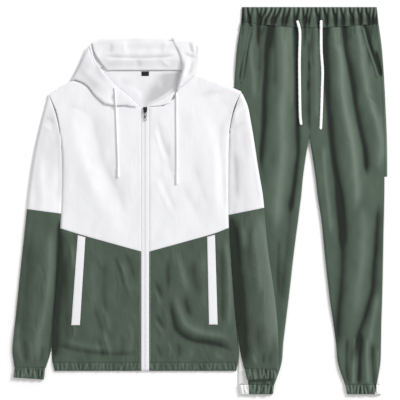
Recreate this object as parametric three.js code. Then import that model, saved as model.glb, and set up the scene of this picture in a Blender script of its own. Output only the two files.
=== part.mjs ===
// A two-piece tracksuit laid flat: a hooded zip jacket beside jogger trousers, the jacket's
// right-hand sleeve lying on the trousers' left-hand leg. Millimetres, +X to the right and
// +Y towards the hood and the waistband, +Z up from the surface that both garments lie on.
// "l" and "r" in the names are the left and right hand of someone who looks down on them.
import * as THREE from 'three';

// Cloth
const CLOTH = 1.5; // wall of every cut piece
const SEAM = 0.3; // gap kept between pieces
const LAID_ON = CLOTH + SEAM; // lowest level of a piece that lies on a back panel
const JACKET_LOFT = 7.5; // top of the jacket's fronts above the surface
const TROUSER_LOFT = 7; // top of the trousers where the sleeve lies on them
const TROUSER_PUFF = 2; // how much higher the uncovered trousers stand
const EDGE_ROUND = 6; // width over which a side edge rounds down

// Jacket
const ZIP_X = -134; // centre of the closed front zip
const ZIP_HALF = 9.5; // one zip tape beside the centre line
const ZIP_TOP = 229;
const HEM_TOP = -397; // seam of the elastic hem casing
const HEM_BOTTOM = -417.5;
const BACK_SEAM = -95; // colour seam across the back
const BACK_NECK = 318; // back neck seam, shown inside the hood

// Trousers
const WAIST_TOP = 474;
const ANKLE_SEAM = -450;
const ANKLE_BOTTOM = -474;
const COLOUR_CHANGE = 58; // where the side panels turn from green to white
const BAND_PLEATS = 26;

const cloth = (name, colour) =>
  new THREE.MeshStandardMaterial({ name, color: colour, roughness: 0.85, metalness: 0 });
const WHITE = cloth('white_shell', 0xececee);
const GREEN = cloth('green_shell', 0x56655a);
const TROUSER = cloth('green_trouser', 0x4d5b4c);
const PANEL_WHITE = cloth('white_panel', 0xe6e6e4);
const LABEL = cloth('black_label', 0x101010);
const CORD = cloth('white_cord', 0xf2f2f2);
const metal = (name, color, roughness, metalness) =>
  new THREE.MeshStandardMaterial({ name, color, roughness, metalness });
const BLACK_METAL = metal('black_metal', 0x151515, 0.35, 0.8);
const STEEL = metal('steel', 0xb8b8bc, 0.25, 1);

const tracksuit = new THREE.Group();
const clamp01 = (v) => Math.min(1, Math.max(0, v));
const smooth = (from, to, v) => {
  const u = clamp01((v - from) / (to - from));
  return u * u * (3 - 2 * u);
};
const lerp = (a, b, t) => a + (b - a) * t;
const roundOff = (u) => Math.sqrt(1 - (1 - clamp01(u)) ** 2);

// A smooth line through [x, y] points, read by its share of the length
function line(...points) {
  const places = points.map(([x, y]) => new THREE.Vector3(x, y, 0));
  const curve = new THREE.CatmullRomCurve3(places, false, 'centripetal');
  return (t) => curve.getPointAt(clamp01(t));
}
const straight = (a, b) => (t) => new THREE.Vector3(lerp(a[0], b[0], t), lerp(a[1], b[1], t), 0);
const between = (curve, t0, t1) => (t) => curve(lerp(t0, t1, t));
const xy = (v) => [v.x, v.y];

// The value of one column of a table of points where another column has a given value, smoothly
function lookUp(points, key, value, wanted) {
  const sorted = points[0][key] < points[points.length - 1][key] ? points : [...points].reverse();
  const last = sorted.length - 1;
  if (value <= sorted[0][key]) return sorted[0][wanted];
  if (value >= sorted[last][key]) return sorted[last][wanted];
  const slope = (i) => {
    const [p, q] = [sorted[Math.max(i - 1, 0)], sorted[Math.min(i + 1, last)]];
    return (q[wanted] - p[wanted]) / (q[key] - p[key]);
  };
  const i = sorted.findIndex((p) => p[key] >= value);
  const [from, to] = [sorted[i - 1], sorted[i]];
  const span = to[key] - from[key];
  const u = (value - from[key]) / span;
  const ease = u * u * (3 - 2 * u);
  const bend = span * u * (1 - u) * ((1 - u) * slope(i - 1) - u * slope(i));
  return lerp(from[wanted], to[wanted], ease) + bend;
}

// Outlines of the jacket, each from the hem upwards or from the left to the right
const BODY_LEFT = [
  [-356.6, HEM_BOTTOM], [-361, HEM_TOP], [-362.5, -359], [-358.7, -280], [-348, -156], [-341.5, -67],
  [-337, 26], [-337.5, 124], [-341, 160], [-349, 209], [-360, 239], [-370, 259],
];
const BODY_RIGHT = [
  [89, HEM_BOTTOM], [93, HEM_TOP], [93.5, -359], [84.5, -280], [75, -156], [69.5, -67],
  [68.5, 26], [69.5, 124], [71, 160], [79.5, 214], [90.5, 244], [100.5, 266],
];
const CHEVRON_LEFT = [[-341.5, -68], [-300, -81], [-280, -87], [ZIP_X - ZIP_HALF, -125]];
const CHEVRON_RIGHT = [[ZIP_X + ZIP_HALF, -125], [17, -86], [37, -80], [69.5, -67]];
const SHOULDER_LEFT = [[-370, 259], [-340, 279], [-311, 295]];
const NECK_LEFT = [
  [-311, 295], [-299, 293], [-275, 278], [-258, 256], [-243, 243], [-233, 235], [-211, 231], [-180, 231],
  [ZIP_X - ZIP_HALF, ZIP_TOP],
];
const NECK_RIGHT = [[ZIP_X + ZIP_HALF, ZIP_TOP], [-100, 230], [-71, 237], [-58, 262], [-46, 292], [-36, 317]];
const SHOULDER_RIGHT = [[-36, 317], [-7, 310], [40, 292], [78, 276], [100.5, 266]];

// Outlines of the trousers
const LEG_OUT_LEFT = [
  [93, ANKLE_SEAM], [92, -423], [97.5, -361], [99, -317], [99, -121], [96, 58], [96, 99], [88, 197],
  [83.8, 276], [87.5, 342], [94, 403], [100.5, 437],
];
const LEG_OUT_RIGHT = [
  [441, ANKLE_SEAM], [444, -436], [448.5, -388], [450, -310], [453.3, -217], [454.7, -133], [456, -60], [457.4, 1],
  [458.75, 58], [458, 148], [454.7, 227], [450, 317], [442, 408], [437.6, 433],
];
const LEG_IN_LEFT = [
  [183, ANKLE_SEAM], [197, -415], [203, -359], [209.5, -305], [219, -227], [229.6, -133], [239, -60],
  [247, 1], [252, 53], [259, 107],
];
const LEG_IN_RIGHT = [
  [354.5, ANKLE_SEAM], [339, -405], [335.7, -374], [328, -312], [318.5, -249], [307.7, -156], [296.5, -45],
  [289, 1], [281, 70], [275.5, 107],
];

// Main folds: a ridge or trough from one point to another, with its half width and height
const JACKET_FOLDS = [
  { x0: -318, y0: 200, x1: -205, y1: -95, wide: 24, high: 3.4 },
  { x0: -262, y0: 225, x1: -165, y1: -70, wide: 15, high: -2.6 },
  { x0: -290, y0: 60, x1: -325, y1: -60, wide: 15, high: -2 },
  { x0: -113, y0: 175, x1: -78, y1: 60, wide: 12, high: -2.4 },
  { x0: -100, y0: 70, x1: -62, y1: -40, wide: 14, high: 2.4 },
  { x0: -20, y0: 245, x1: 45, y1: 265, wide: 13, high: -2.2 },
  { x0: 10, y0: 190, x1: 50, y1: -60, wide: 24, high: 2.6 },
  { x0: -262, y0: -120, x1: -250, y1: -380, wide: 22, high: 2.6 },
  { x0: -215, y0: -165, x1: -172, y1: -250, wide: 16, high: -2.4 },
  { x0: -196, y0: -270, x1: -205, y1: -395, wide: 18, high: 2.2 },
  { x0: -78, y0: -250, x1: -30, y1: -335, wide: 14, high: 3.2 },
  { x0: -45, y0: -330, x1: 80, y1: -375, wide: 14, high: 2.6 },
  { x0: -60, y0: -285, x1: 5, y1: -365, wide: 12, high: -2.6 },
  { x0: -95, y0: -135, x1: -80, y1: -300, wide: 16, high: 2 },
];
const TROUSER_FOLDS = [
  { x0: 172, y0: 420, x1: 158, y1: 190, wide: 12, high: -3.2 },
  { x0: 240, y0: 415, x1: 232, y1: 215, wide: 10, high: -2.8 },
  { x0: 205, y0: 405, x1: 200, y1: 60, wide: 20, high: 2.8 },
  { x0: 318, y0: 395, x1: 332, y1: 80, wide: 11, high: -3.2 },
  { x0: 350, y0: 425, x1: 405, y1: 120, wide: 12, high: -3 },
  { x0: 330, y0: 300, x1: 372, y1: -60, wide: 22, high: 2.8 },
  { x0: 415, y0: 180, x1: 412, y1: -250, wide: 18, high: 2.6 },
  { x0: 350, y0: 20, x1: 372, y1: -330, wide: 15, high: -2.6 },
  { x0: 232, y0: 120, x1: 200, y1: -200, wide: 13, high: 2.6 },
  { x0: 210, y0: 150, x1: 186, y1: -60, wide: 12, high: -2.4 },
  { x0: 387, y0: -340, x1: 386, y1: -447, wide: 9, high: -3 },
  { x0: 418, y0: -360, x1: 414, y1: -447, wide: 9, high: -2.4 },
  { x0: 402, y0: -300, x1: 401, y1: -445, wide: 10, high: 2.4 },
];
const SLEEVE_FOLDS = [
  { x0: -392, y0: 120, x1: -385, y1: -60, wide: 11, high: 2.6 },
  { x0: -360, y0: 190, x1: -382, y1: 40, wide: 9, high: -2 },
  { x0: -400, y0: -60, x1: -420, y1: -330, wide: 13, high: 2.8 },
  { x0: -385, y0: -120, x1: -398, y1: -350, wide: 10, high: -2 },
  { x0: 98, y0: 150, x1: 112, y1: -60, wide: 10, high: -2.4 },
  { x0: 116, y0: 190, x1: 134, y1: 0, wide: 12, high: 2.4 },
  { x0: 142, y0: -60, x1: 165, y1: -330, wide: 14, high: 2.6 },
  { x0: 122, y0: -90, x1: 138, y1: -360, wide: 10, high: -2.2 },
];

function foldHeight(folds, x, y) {
  let sum = 0;
  for (const { x0, y0, x1, y1, wide, high } of folds) {
    const long = Math.hypot(x1 - x0, y1 - y0);
    const along = ((x - x0) * (x1 - x0) + (y - y0) * (y1 - y0)) / long ** 2;
    const off = ((x - x0) * (y1 - y0) - (y - y0) * (x1 - x0)) / long;
    const taper = smooth(-0.12, 0.25, along) * (1 - smooth(0.75, 1.12, along));
    sum += high * taper * Math.exp(-((off / wide) ** 2));
  }
  return sum;
}

// What the jacket's right-hand shoulder and sleeve lie on: the trousers' edge, then their leg
const trouserEdge = (y) => lookUp(LEG_OUT_LEFT, 1, y, 0);
const SLEEVE_GAP = 1;
const EDGE_PRESSED = 3.8; // the trousers' covered edge, pressed flat by the sleeve
const pressed = (x, y) => EDGE_PRESSED + (TROUSER_LOFT - EDGE_PRESSED) * smooth(2, 32, x - trouserEdge(y));
const underJacket = (x, y) => {
  if (y > 300 || y < -452) return 0;
  const edge = trouserEdge(y);
  return (pressed(x, y) + SLEEVE_GAP) * smooth(edge - 11, edge - 1, x);
};

// The jacket's right-hand sleeve covers the leg up to this line
const SLEEVE_OUT_RIGHT = [
  [191, -413], [191, -388], [189, -310], [179.5, -217], [165.5, -124], [156, -18], [153, 11],
  [140.5, 84], [131, 148], [120, 209], [108, 259], [100.5, 266],
];
const jacketTop = (x, y) => underJacket(x, y) + JACKET_LOFT + foldHeight(JACKET_FOLDS, x, y);
const trouserTop = (x, y) => {
  const covered = lookUp(SLEEVE_OUT_RIGHT, 1, y, 0);
  const bare = Math.max(smooth(282, 300, y), smooth(covered + 2, covered + 22, x));
  const under = x < 200 && y < 300 ? lerp(pressed(x, y), TROUSER_LOFT, bare) : TROUSER_LOFT;
  return under + bare * (TROUSER_PUFF + foldHeight(TROUSER_FOLDS, x, y));
};

// Everything that is already laid down, as triangles seen from above
const laid = [];
function topAt(x, y, fallback = 0) {
  let best = fallback;
  for (const [a, b, c] of laid) {
    const det = (b.x - a.x) * (c.y - a.y) - (c.x - a.x) * (b.y - a.y);
    if (Math.abs(det) < 1e-9) continue;
    const u = ((x - a.x) * (c.y - a.y) - (c.x - a.x) * (y - a.y)) / det;
    const v = ((b.x - a.x) * (y - a.y) - (x - a.x) * (b.y - a.y)) / det;
    if (u < -1e-6 || v < -1e-6 || u + v > 1 + 1e-6) continue;
    best = Math.max(best, a.z + u * (b.z - a.z) + v * (c.z - a.z));
  }
  return best;
}

function addMesh(name, material, points, faces) {
  const geometry = new THREE.BufferGeometry();
  const coordinates = points.flatMap((p) => [p.x, p.y, p.z]);
  geometry.setAttribute('position', new THREE.Float32BufferAttribute(coordinates, 3));
  geometry.setIndex(faces.flat());
  geometry.computeVertexNormals();
  const mesh = new THREE.Mesh(geometry, material);
  mesh.name = name;
  tracksuit.add(mesh);
  for (const [i, j, k] of faces) {
    const [a, b, c] = [points[i], points[j], points[k]];
    const up = (b.x - a.x) * (c.y - a.y) - (c.x - a.x) * (b.y - a.y);
    if (up > 1e-6) laid.push([a, b, c]);
  }
  return mesh;
}

// Distances across a width at which columns stand: close together where an edge rounds down
const EDGE_STEPS = [0, 0.2, 1];
const roundWidth = (edge, width) => Math.min(edge.wide, 0.6 * width);
function stations(width, count, first, last) {
  const steps = [];
  const low = first ? EDGE_STEPS.map((s) => s * roundWidth(first, width)) : [0];
  const high = last ? EDGE_STEPS.map((s) => width - s * roundWidth(last, width)).reverse() : [width];
  const from = low[low.length - 1];
  const to = high[0];
  steps.push(...low);
  for (let i = 1; i < count; i++) steps.push(lerp(from, to, i / count));
  steps.push(...high);
  return steps.map((s) => s / width);
}

// A cut piece as a wall: its four borders are lines that share corners, left and right running up,
// bottom and top running right. An edge { wide, to, share } rounds down to the level "to" within
// "wide"; other edges butt against their neighbour. height(x, y) is the level of the upper face.
function panel(name, material, border, options) {
  const { left, right, bottom, top } = border;
  const { columns, rows, height, edges = {}, wall = CLOTH, floor = () => 0, inset = SEAM / 2 } = options;
  const corner = [bottom(0), bottom(1), top(0), top(1)];
  const place = (s, t) => {
    const p = bottom(s).clone().multiplyScalar(1 - t).addScaledVector(top(s), t);
    p.addScaledVector(left(t), 1 - s).addScaledVector(right(t), s);
    p.addScaledVector(corner[0], -(1 - s) * (1 - t)).addScaledVector(corner[1], -s * (1 - t));
    return p.addScaledVector(corner[2], -(1 - s) * t).addScaledVector(corner[3], -s * t);
  };
  const tall = place(0.5, 0).distanceTo(place(0.5, 1));
  const rowsAt = stations(tall, rows, edges.bottom, edges.top);
  const down = (level, edge, distance, span, along) => {
    if (!edge) return level;
    const share = edge.share ? edge.share(along) : 1;
    const to = typeof edge.to === 'function' ? edge.to : () => edge.to;
    const round = roundOff(distance / roundWidth(edge, span));
    return (x, y) => lerp(level(x, y), to(x, y) + (level(x, y) - to(x, y)) * round, share);
  };
  const grid = rowsAt.map((t) => {
    const width = place(0, t).distanceTo(place(1, t));
    return stations(width, columns, edges.left, edges.right).map((s) => {
      const p = place(s, t);
      let level = height;
      level = down(level, edges.left, s * width, width, t);
      level = down(level, edges.right, (1 - s) * width, width, t);
      level = down(level, edges.bottom, t * tall, tall, s);
      level = down(level, edges.top, (1 - t) * tall, tall, s);
      p.z = level(p.x, p.y);
      return p;
    });
  });
  const last = grid.length - 1;
  const side = grid[0].length - 1;
  const pull = (p, q) => {
    const away = new THREE.Vector3(q.x - p.x, q.y - p.y, 0).normalize();
    p.addScaledVector(away, inset);
  };
  for (let j = 0; j <= last; j++) {
    pull(grid[j][0], grid[j][1]);
    pull(grid[j][side], grid[j][side - 1]);
  }
  for (let i = 0; i <= side; i++) {
    pull(grid[0][i], grid[1][i]);
    pull(grid[last][i], grid[last - 1][i]);
  }
  const inner = grid.map((row, j) => row.map((p, i) => {
    const east = row[Math.min(i + 1, side)].clone().sub(row[Math.max(i - 1, 0)]);
    const north = grid[Math.min(j + 1, last)][i].clone().sub(grid[Math.max(j - 1, 0)][i]);
    const out = east.clone().cross(north).normalize();
    const level = (along, keep) => {
      const across = new THREE.Vector3(-along.y, along.x, 0).normalize();
      out.addScaledVector(across, -out.dot(across) * keep).normalize();
    };
    if (i === 0) level(north, edges.left ? 1 - (edges.left.share?.(rowsAt[j]) ?? 1) : 1);
    if (i === side) level(north, edges.right ? 1 - (edges.right.share?.(rowsAt[j]) ?? 1) : 1);
    const share = i / side;
    if (j === 0) level(east, edges.bottom ? 1 - (edges.bottom.share?.(share) ?? 1) : 1);
    if (j === last) level(east, edges.top ? 1 - (edges.top.share?.(share) ?? 1) : 1);
    const q = p.clone().addScaledVector(out, -wall);
    const lowest = floor(q.x, q.y);
    if (q.z < lowest) q.z = Math.min(lowest, p.z - 0.2);
    return q;
  }));
  return wallMesh(name, material, grid, inner);
}

// Closes an upper and a lower grid of points into one solid
function wallMesh(name, material, upper, lower) {
  const rows = upper.length;
  const columns = upper[0].length;
  const points = [...upper.flat(), ...lower.flat()];
  const at = (j, i, sheet) => sheet * rows * columns + j * columns + i;
  const faces = [];
  const quad = (a, b, c, d) => faces.push([a, b, c], [a, c, d]);
  for (let j = 0; j < rows - 1; j++) {
    for (let i = 0; i < columns - 1; i++) {
      quad(at(j, i, 0), at(j, i + 1, 0), at(j + 1, i + 1, 0), at(j + 1, i, 0));
      quad(at(j, i, 1), at(j + 1, i, 1), at(j + 1, i + 1, 1), at(j, i + 1, 1));
    }
    quad(at(j, 0, 0), at(j + 1, 0, 0), at(j + 1, 0, 1), at(j, 0, 1));
    quad(at(j, columns - 1, 0), at(j, columns - 1, 1), at(j + 1, columns - 1, 1), at(j + 1, columns - 1, 0));
  }
  for (let i = 0; i < columns - 1; i++) {
    quad(at(0, i, 0), at(0, i, 1), at(0, i + 1, 1), at(0, i + 1, 0));
    quad(at(rows - 1, i, 0), at(rows - 1, i + 1, 0), at(rows - 1, i + 1, 1), at(rows - 1, i, 1));
  }
  return addMesh(name, material, points, faces);
}

// A flattened tube, such as a sleeve: left and right run along its two edges from its lower end to
// its upper one, and each ring crosses between them. thick(share, t) is its height above base(x, y).
function tube(name, material, options) {
  const { left, right, rings, across, thick, base = () => 0, bow = () => 0 } = options;
  const { round = EDGE_ROUND, lip = 2, under = 2 } = options;
  const loops = [];
  for (let j = 0; j <= rings; j++) {
    const t = j / rings;
    const a = left(t);
    const b = right(t);
    const width = a.distanceTo(b);
    const up = new THREE.Vector3(a.y - b.y, b.x - a.x, 0).normalize();
    const put = (share, z) => {
      const p = a.clone().lerp(b, share).addScaledVector(up, bow(t) * 4 * share * (1 - share));
      p.z = base(p.x, p.y) + z(p);
      return p;
    };
    const loop = [];
    for (const share of stations(width, across, { wide: round }, { wide: round })) {
      const fromEdge = Math.min(share, 1 - share) * width;
      loop.push(put(share, (p) => lip + (thick(p, share, t) - lip) * roundOff(fromEdge / round)));
    }
    const edge = lip / width;
    const bottoms = [1 - edge * 0.3, 1 - edge];
    for (let i = 1; i < under; i++) bottoms.push(lerp(1 - edge, edge, i / under));
    bottoms.push(edge, edge * 0.3);
    for (const share of bottoms) {
      const fromEdge = Math.min(share, 1 - share) * width;
      loop.push(put(share, () => lip * (1 - roundOff(fromEdge / lip))));
    }
    loops.push(loop);
  }
  const count = loops[0].length;
  const inner = loops.map((loop, j) => loop.map((p, i) => {
    const next = loop[(i + 1) % count].clone().sub(loop[(i + count - 1) % count]);
    const along = loops[Math.min(j + 1, rings)][i].clone().sub(loops[Math.max(j - 1, 0)][i]);
    const out = next.cross(along).normalize();
    if (j === 0 || j === rings) {
      const a = left(j / rings);
      const b = right(j / rings);
      const endways = new THREE.Vector3(a.y - b.y, b.x - a.x, 0).normalize();
      out.addScaledVector(endways, -out.dot(endways)).normalize();
    }
    return p.clone().addScaledVector(out, -CLOTH);
  }));
  // Inside, the lowest turn of each side edge runs straight between its neighbours
  const turns = [count - under - 3, count - 1];
  for (const ring of inner) {
    for (const i of turns) ring[i].lerpVectors(ring[i - 1], ring[(i + 1) % count], 0.5);
  }
  const points = [...loops.flat(), ...inner.flat()];
  const at = (j, i, sheet) => (sheet * (rings + 1) + j) * count + (i % count);
  const faces = [];
  const quad = (a, b, c, d) => faces.push([a, b, c], [a, c, d]);
  for (let i = 0; i < count; i++) {
    for (let j = 0; j < rings; j++) {
      quad(at(j, i, 0), at(j, i + 1, 0), at(j + 1, i + 1, 0), at(j + 1, i, 0));
      quad(at(j, i, 1), at(j + 1, i, 1), at(j + 1, i + 1, 1), at(j, i + 1, 1));
    }
    quad(at(0, i, 0), at(0, i, 1), at(0, i + 1, 1), at(0, i + 1, 0));
    quad(at(rings, i, 0), at(rings, i + 1, 0), at(rings, i + 1, 1), at(rings, i, 1));
  }
  return addMesh(name, material, points, faces);
}

const flatLevel = (level) => () => level;
const SIDE = { wide: EDGE_ROUND, to: LAID_ON };

// An edge read at evenly spaced levels of y between the two given, with the x that its table gives
const rising = (points, low, high, shift = 0) => (t) => {
  const y = lerp(low, high, t);
  return new THREE.Vector3(lookUp(points, 1, y, 0) + shift, y, 0);
};
const crosswise = (a, b, t) => straight(xy(a(t)), xy(b(t)));

// Trousers first: the jacket's sleeve lies on them
const SIDE_SEAM_LEFT = [
  [118, ANKLE_SEAM], [116, -423], [113, -361], [110, -250], [108, -121], [106, 58], [104, 150], [101, 240],
  [99, 310], [101, 380], [105, 437],
];
const SIDE_SEAM_RIGHT = [
  [432, ANKLE_SEAM], [437, -430], [441.5, -388], [443, -310], [446, -217], [447.5, -133], [449, -60], [450.5, 1],
  [451, 58], [450, 150], [446.5, 227], [441, 317], [434, 408], [431, 433],
];
const TROUSER_CENTRE = 267.3;
const LEG_ROWS = { lower: 10, upper: 7 };
const WAIST = { left: 101, right: 438, dip: 13, fall: 3.6 };

// The seam under the waistband sags towards the middle
const bandSeam = (x) => {
  const u = clamp01((x - WAIST.left) / (WAIST.right - WAIST.left));
  return 437 - WAIST.dip * Math.sin(Math.PI * u) - WAIST.fall * u;
};

const backBandSeam = (x) => 437 - WAIST.fall * clamp01((x - WAIST.left) / (WAIST.right - WAIST.left));

function trouserLegs() {
  // A leg's line from the ankle to the waistband, its rows shared by all the panels of the leg
  const legLine = (points, shift = 0, seam = bandSeam) => {
    const top = seam(lookUp(points, 1, 430, 0));
    const rows = LEG_ROWS.lower + LEG_ROWS.upper;
    const turn = LEG_ROWS.lower / rows;
    return (t) => {
      const y = t < turn
        ? lerp(ANKLE_SEAM, COLOUR_CHANGE, t / turn)
        : lerp(COLOUR_CHANGE, top, (t - turn) / (1 - turn));
      return new THREE.Vector3(lookUp(points, 1, y, 0) + shift, y, 0);
    };
  };
  const share = LEG_ROWS.lower / (LEG_ROWS.lower + LEG_ROWS.upper);
  const bandLine = (a, b) => (s) => {
    const x = lerp(a.x, b.x, s);
    return new THREE.Vector3(x, lerp(a.y, b.y, s) + bandSeam(x) - lerp(bandSeam(a.x), bandSeam(b.x), s), 0);
  };
  const CROTCH = 131;
  const rise = [[TROUSER_CENTRE, CROTCH], [TROUSER_CENTRE, CROTCH + 20], [TROUSER_CENTRE, 440]];
  for (const [hand, outline, side, inseam, outward] of [
    ['l', LEG_OUT_LEFT, SIDE_SEAM_LEFT, LEG_IN_LEFT, -1],
    ['r', LEG_OUT_RIGHT, SIDE_SEAM_RIGHT, LEG_IN_RIGHT, 1],
  ]) {
    const inner = legLine([...inseam, ...rise]);
    const seam = legLine(side);
    const outer = legLine(outline);
    const arrange = (out, into) => (outward < 0 ? { left: out, right: into } : { left: into, right: out });
    const border = (out, into, t0, t1, curved = t1 === 1) => {
      const sides = arrange(between(out, t0, t1), between(into, t0, t1));
      const across = curved ? bandLine(sides.left(1), sides.right(1)) : crosswise(sides.left, sides.right, 1);
      return { ...sides, bottom: crosswise(sides.left, sides.right, 0), top: across };
    };

    // The inner edge rounds down below the crotch and meets the other front above it
    const fork = (CROTCH - COLOUR_CHANGE) / (bandSeam(TROUSER_CENTRE) - COLOUR_CHANGE);
    const crotch = share + (1 - share) * fork;
    const inside = { wide: EDGE_ROUND, to: LAID_ON, share: (t) => 1 - smooth(crotch - 0.04, crotch + 0.03, t) };
    panel(`trouser_front_${hand}`, TROUSER, border(seam, inner, 0, 1), {
      columns: 7, rows: LEG_ROWS.lower + LEG_ROWS.upper, height: trouserTop, floor: flatLevel(LAID_ON),
      edges: arrange(undefined, inside),
    });
    const trim = 1;
    const backOuter = legLine(outline, -outward * trim, backBandSeam);
    const backInner = legLine([...inseam.map(([x, y]) => [x + outward * trim, y]), ...rise], 0, backBandSeam);
    panel(`trouser_back_${hand}`, TROUSER, border(backOuter, backInner, 0, 1, false), {
      columns: 2, rows: LEG_ROWS.lower + LEG_ROWS.upper, height: flatLevel(CLOTH),
    });

    // Side panels: a white stretch up from the ankle and a green one at the hip
    for (const [part, material, rows, t0, t1] of [
      ['lower', PANEL_WHITE, LEG_ROWS.lower, 0, share],
      ['upper', TROUSER, LEG_ROWS.upper, share, 1],
    ]) {
      panel(`trouser_side_${part}_${hand}`, material, border(outer, seam, t0, t1), {
        columns: 1, rows, height: trouserTop, floor: flatLevel(LAID_ON), edges: arrange(SIDE, undefined),
      });
    }
  }
}

trouserLegs();

// Small waves of elastic gathers: their number across a width and their height
const gathers = (count, high, share) => {
  const uneven = 0.75 + 0.25 * Math.sin(9.7 * share * count);
  return high * Math.cos(2 * Math.PI * count * share) * uneven;
};

const WAIST_LEFT = [[100.5, 436.8], [103, WAIST_TOP]];
const WAIST_RIGHT = [[437.6, 433.3], [433, WAIST_TOP]];
const ELASTIC_EDGE = { wide: 5, to: LAID_ON };

function waistband() {
  const seam = (s) => {
    const x = lerp(WAIST_LEFT[0][0], WAIST_RIGHT[0][0], s);
    return new THREE.Vector3(x, bandSeam(x) + 0.25, 0);
  };
  const border = {
    left: straight(xy(seam(0)), WAIST_LEFT[1]), right: straight(xy(seam(1)), WAIST_RIGHT[1]),
    bottom: seam, top: straight(WAIST_LEFT[1], WAIST_RIGHT[1]),
  };
  const along = (x) => (x - WAIST.left) / (WAIST.right - WAIST.left);
  const pleated = (x, y) => trouserTop(x, y) + 0.6 + gathers(BAND_PLEATS, 1.5, along(x));
  panel('waistband_front', TROUSER, border, {
    columns: BAND_PLEATS * 2, rows: 1, height: pleated, floor: flatLevel(LAID_ON),
    edges: { left: ELASTIC_EDGE, right: ELASTIC_EDGE, top: ELASTIC_EDGE },
  });
  const seamBack = (s) => {
    const x = lerp(WAIST_LEFT[0][0], WAIST_RIGHT[0][0], s);
    return new THREE.Vector3(x, backBandSeam(x) + 0.3, 0);
  };
  const flat = { columns: 3, rows: 1, height: flatLevel(CLOTH) };
  panel('waistband_back', TROUSER, { ...border, bottom: seamBack }, flat);
}

// Elastic ankle cuffs in two colours, as the leg above them is
const ANKLE_GATHERS = 7;
function ankleCuffs() {
  for (const [hand, foot, seam, outFoot, outSeam, whiteFoot, whiteSeam, outward] of [
    ['l', 179, 182, 98, 94, 120, 118.5, -1],
    ['r', 360, 355.5, 445, 440, 428, 431.5, 1],
  ]) {
    const post = (x0, x1) => straight([x0, ANKLE_BOTTOM], [x1, ANKLE_SEAM - SEAM]);
    const inner = post(foot, seam);
    const outer = post(outFoot, outSeam);
    const join = post(whiteFoot, whiteSeam);
    const border = (a, b) => {
      const [left, right] = outward < 0 ? [a, b] : [b, a];
      return { left, right, bottom: crosswise(left, right, 0), top: crosswise(left, right, 1) };
    };
    const sides = (out, into) => (outward < 0 ? { left: out, right: into } : { left: into, right: out });
    const share = (x) => (x - foot) / (outFoot - foot);
    const height = (x) => TROUSER_LOFT + 1.5 + gathers(ANKLE_GATHERS, 1.3, share(x));
    panel(`ankle_cuff_${hand}`, TROUSER, border(join, inner), {
      columns: ANKLE_GATHERS * 2, rows: 1, height, floor: flatLevel(LAID_ON),
      edges: sides(undefined, ELASTIC_EDGE),
    });
    panel(`ankle_cuff_side_${hand}`, PANEL_WHITE, border(outer, join), {
      columns: 4, rows: 1, height, floor: flatLevel(LAID_ON), edges: sides(ELASTIC_EDGE, undefined),
    });
    const flat = { columns: 3, rows: 1, height: flatLevel(CLOTH) };
    panel(`ankle_cuff_back_${hand}`, TROUSER, border(outer, inner), flat);
  }
}

waistband();
ankleCuffs();

// The jacket's back panels lie flat; the one with the shoulders stops short of the trousers
const BACK_RIGHT = [
  [89, HEM_BOTTOM], [93, HEM_TOP], [93, -359], [84.5, -280], [75, -156], [69.5, -67],
  [68.5, 26], [69.5, 124], [71, 160], [77, 214], [79, 240], [79.5, 268],
];
const BACK_TOP = [
  [-370, 259], [-340, 279], [-311, 295], [-262, 311], [-215, BACK_NECK], [-128, BACK_NECK], [-42, BACK_NECK],
  [-7, 310],
  [40, 290], [79.5, 268],
];
function jacketBack() {
  const across = (y) => {
    const [left, right] = [[lookUp(BODY_LEFT, 1, y, 0), y], [lookUp(BACK_RIGHT, 1, y, 0), y]];
    return straight(left, right);
  };
  const part = (name, material, low, high, rows, columns, top) => {
    panel(name, material, {
      left: rising(BODY_LEFT, low, top ? BACK_TOP[0][1] : high),
      right: rising(BACK_RIGHT, low, top ? 268 : high),
      bottom: across(low), top: top ?? across(high),
    }, { columns, rows, height: flatLevel(CLOTH) });
  };
  part('jacket_back_upper', WHITE, BACK_SEAM, 0, 5, 9, line(...BACK_TOP));
  part('jacket_back_lower', GREEN, HEM_TOP, BACK_SEAM, 6, 3);
  part('jacket_hem_back', GREEN, HEM_BOTTOM, HEM_TOP, 1, 3);
}

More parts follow.
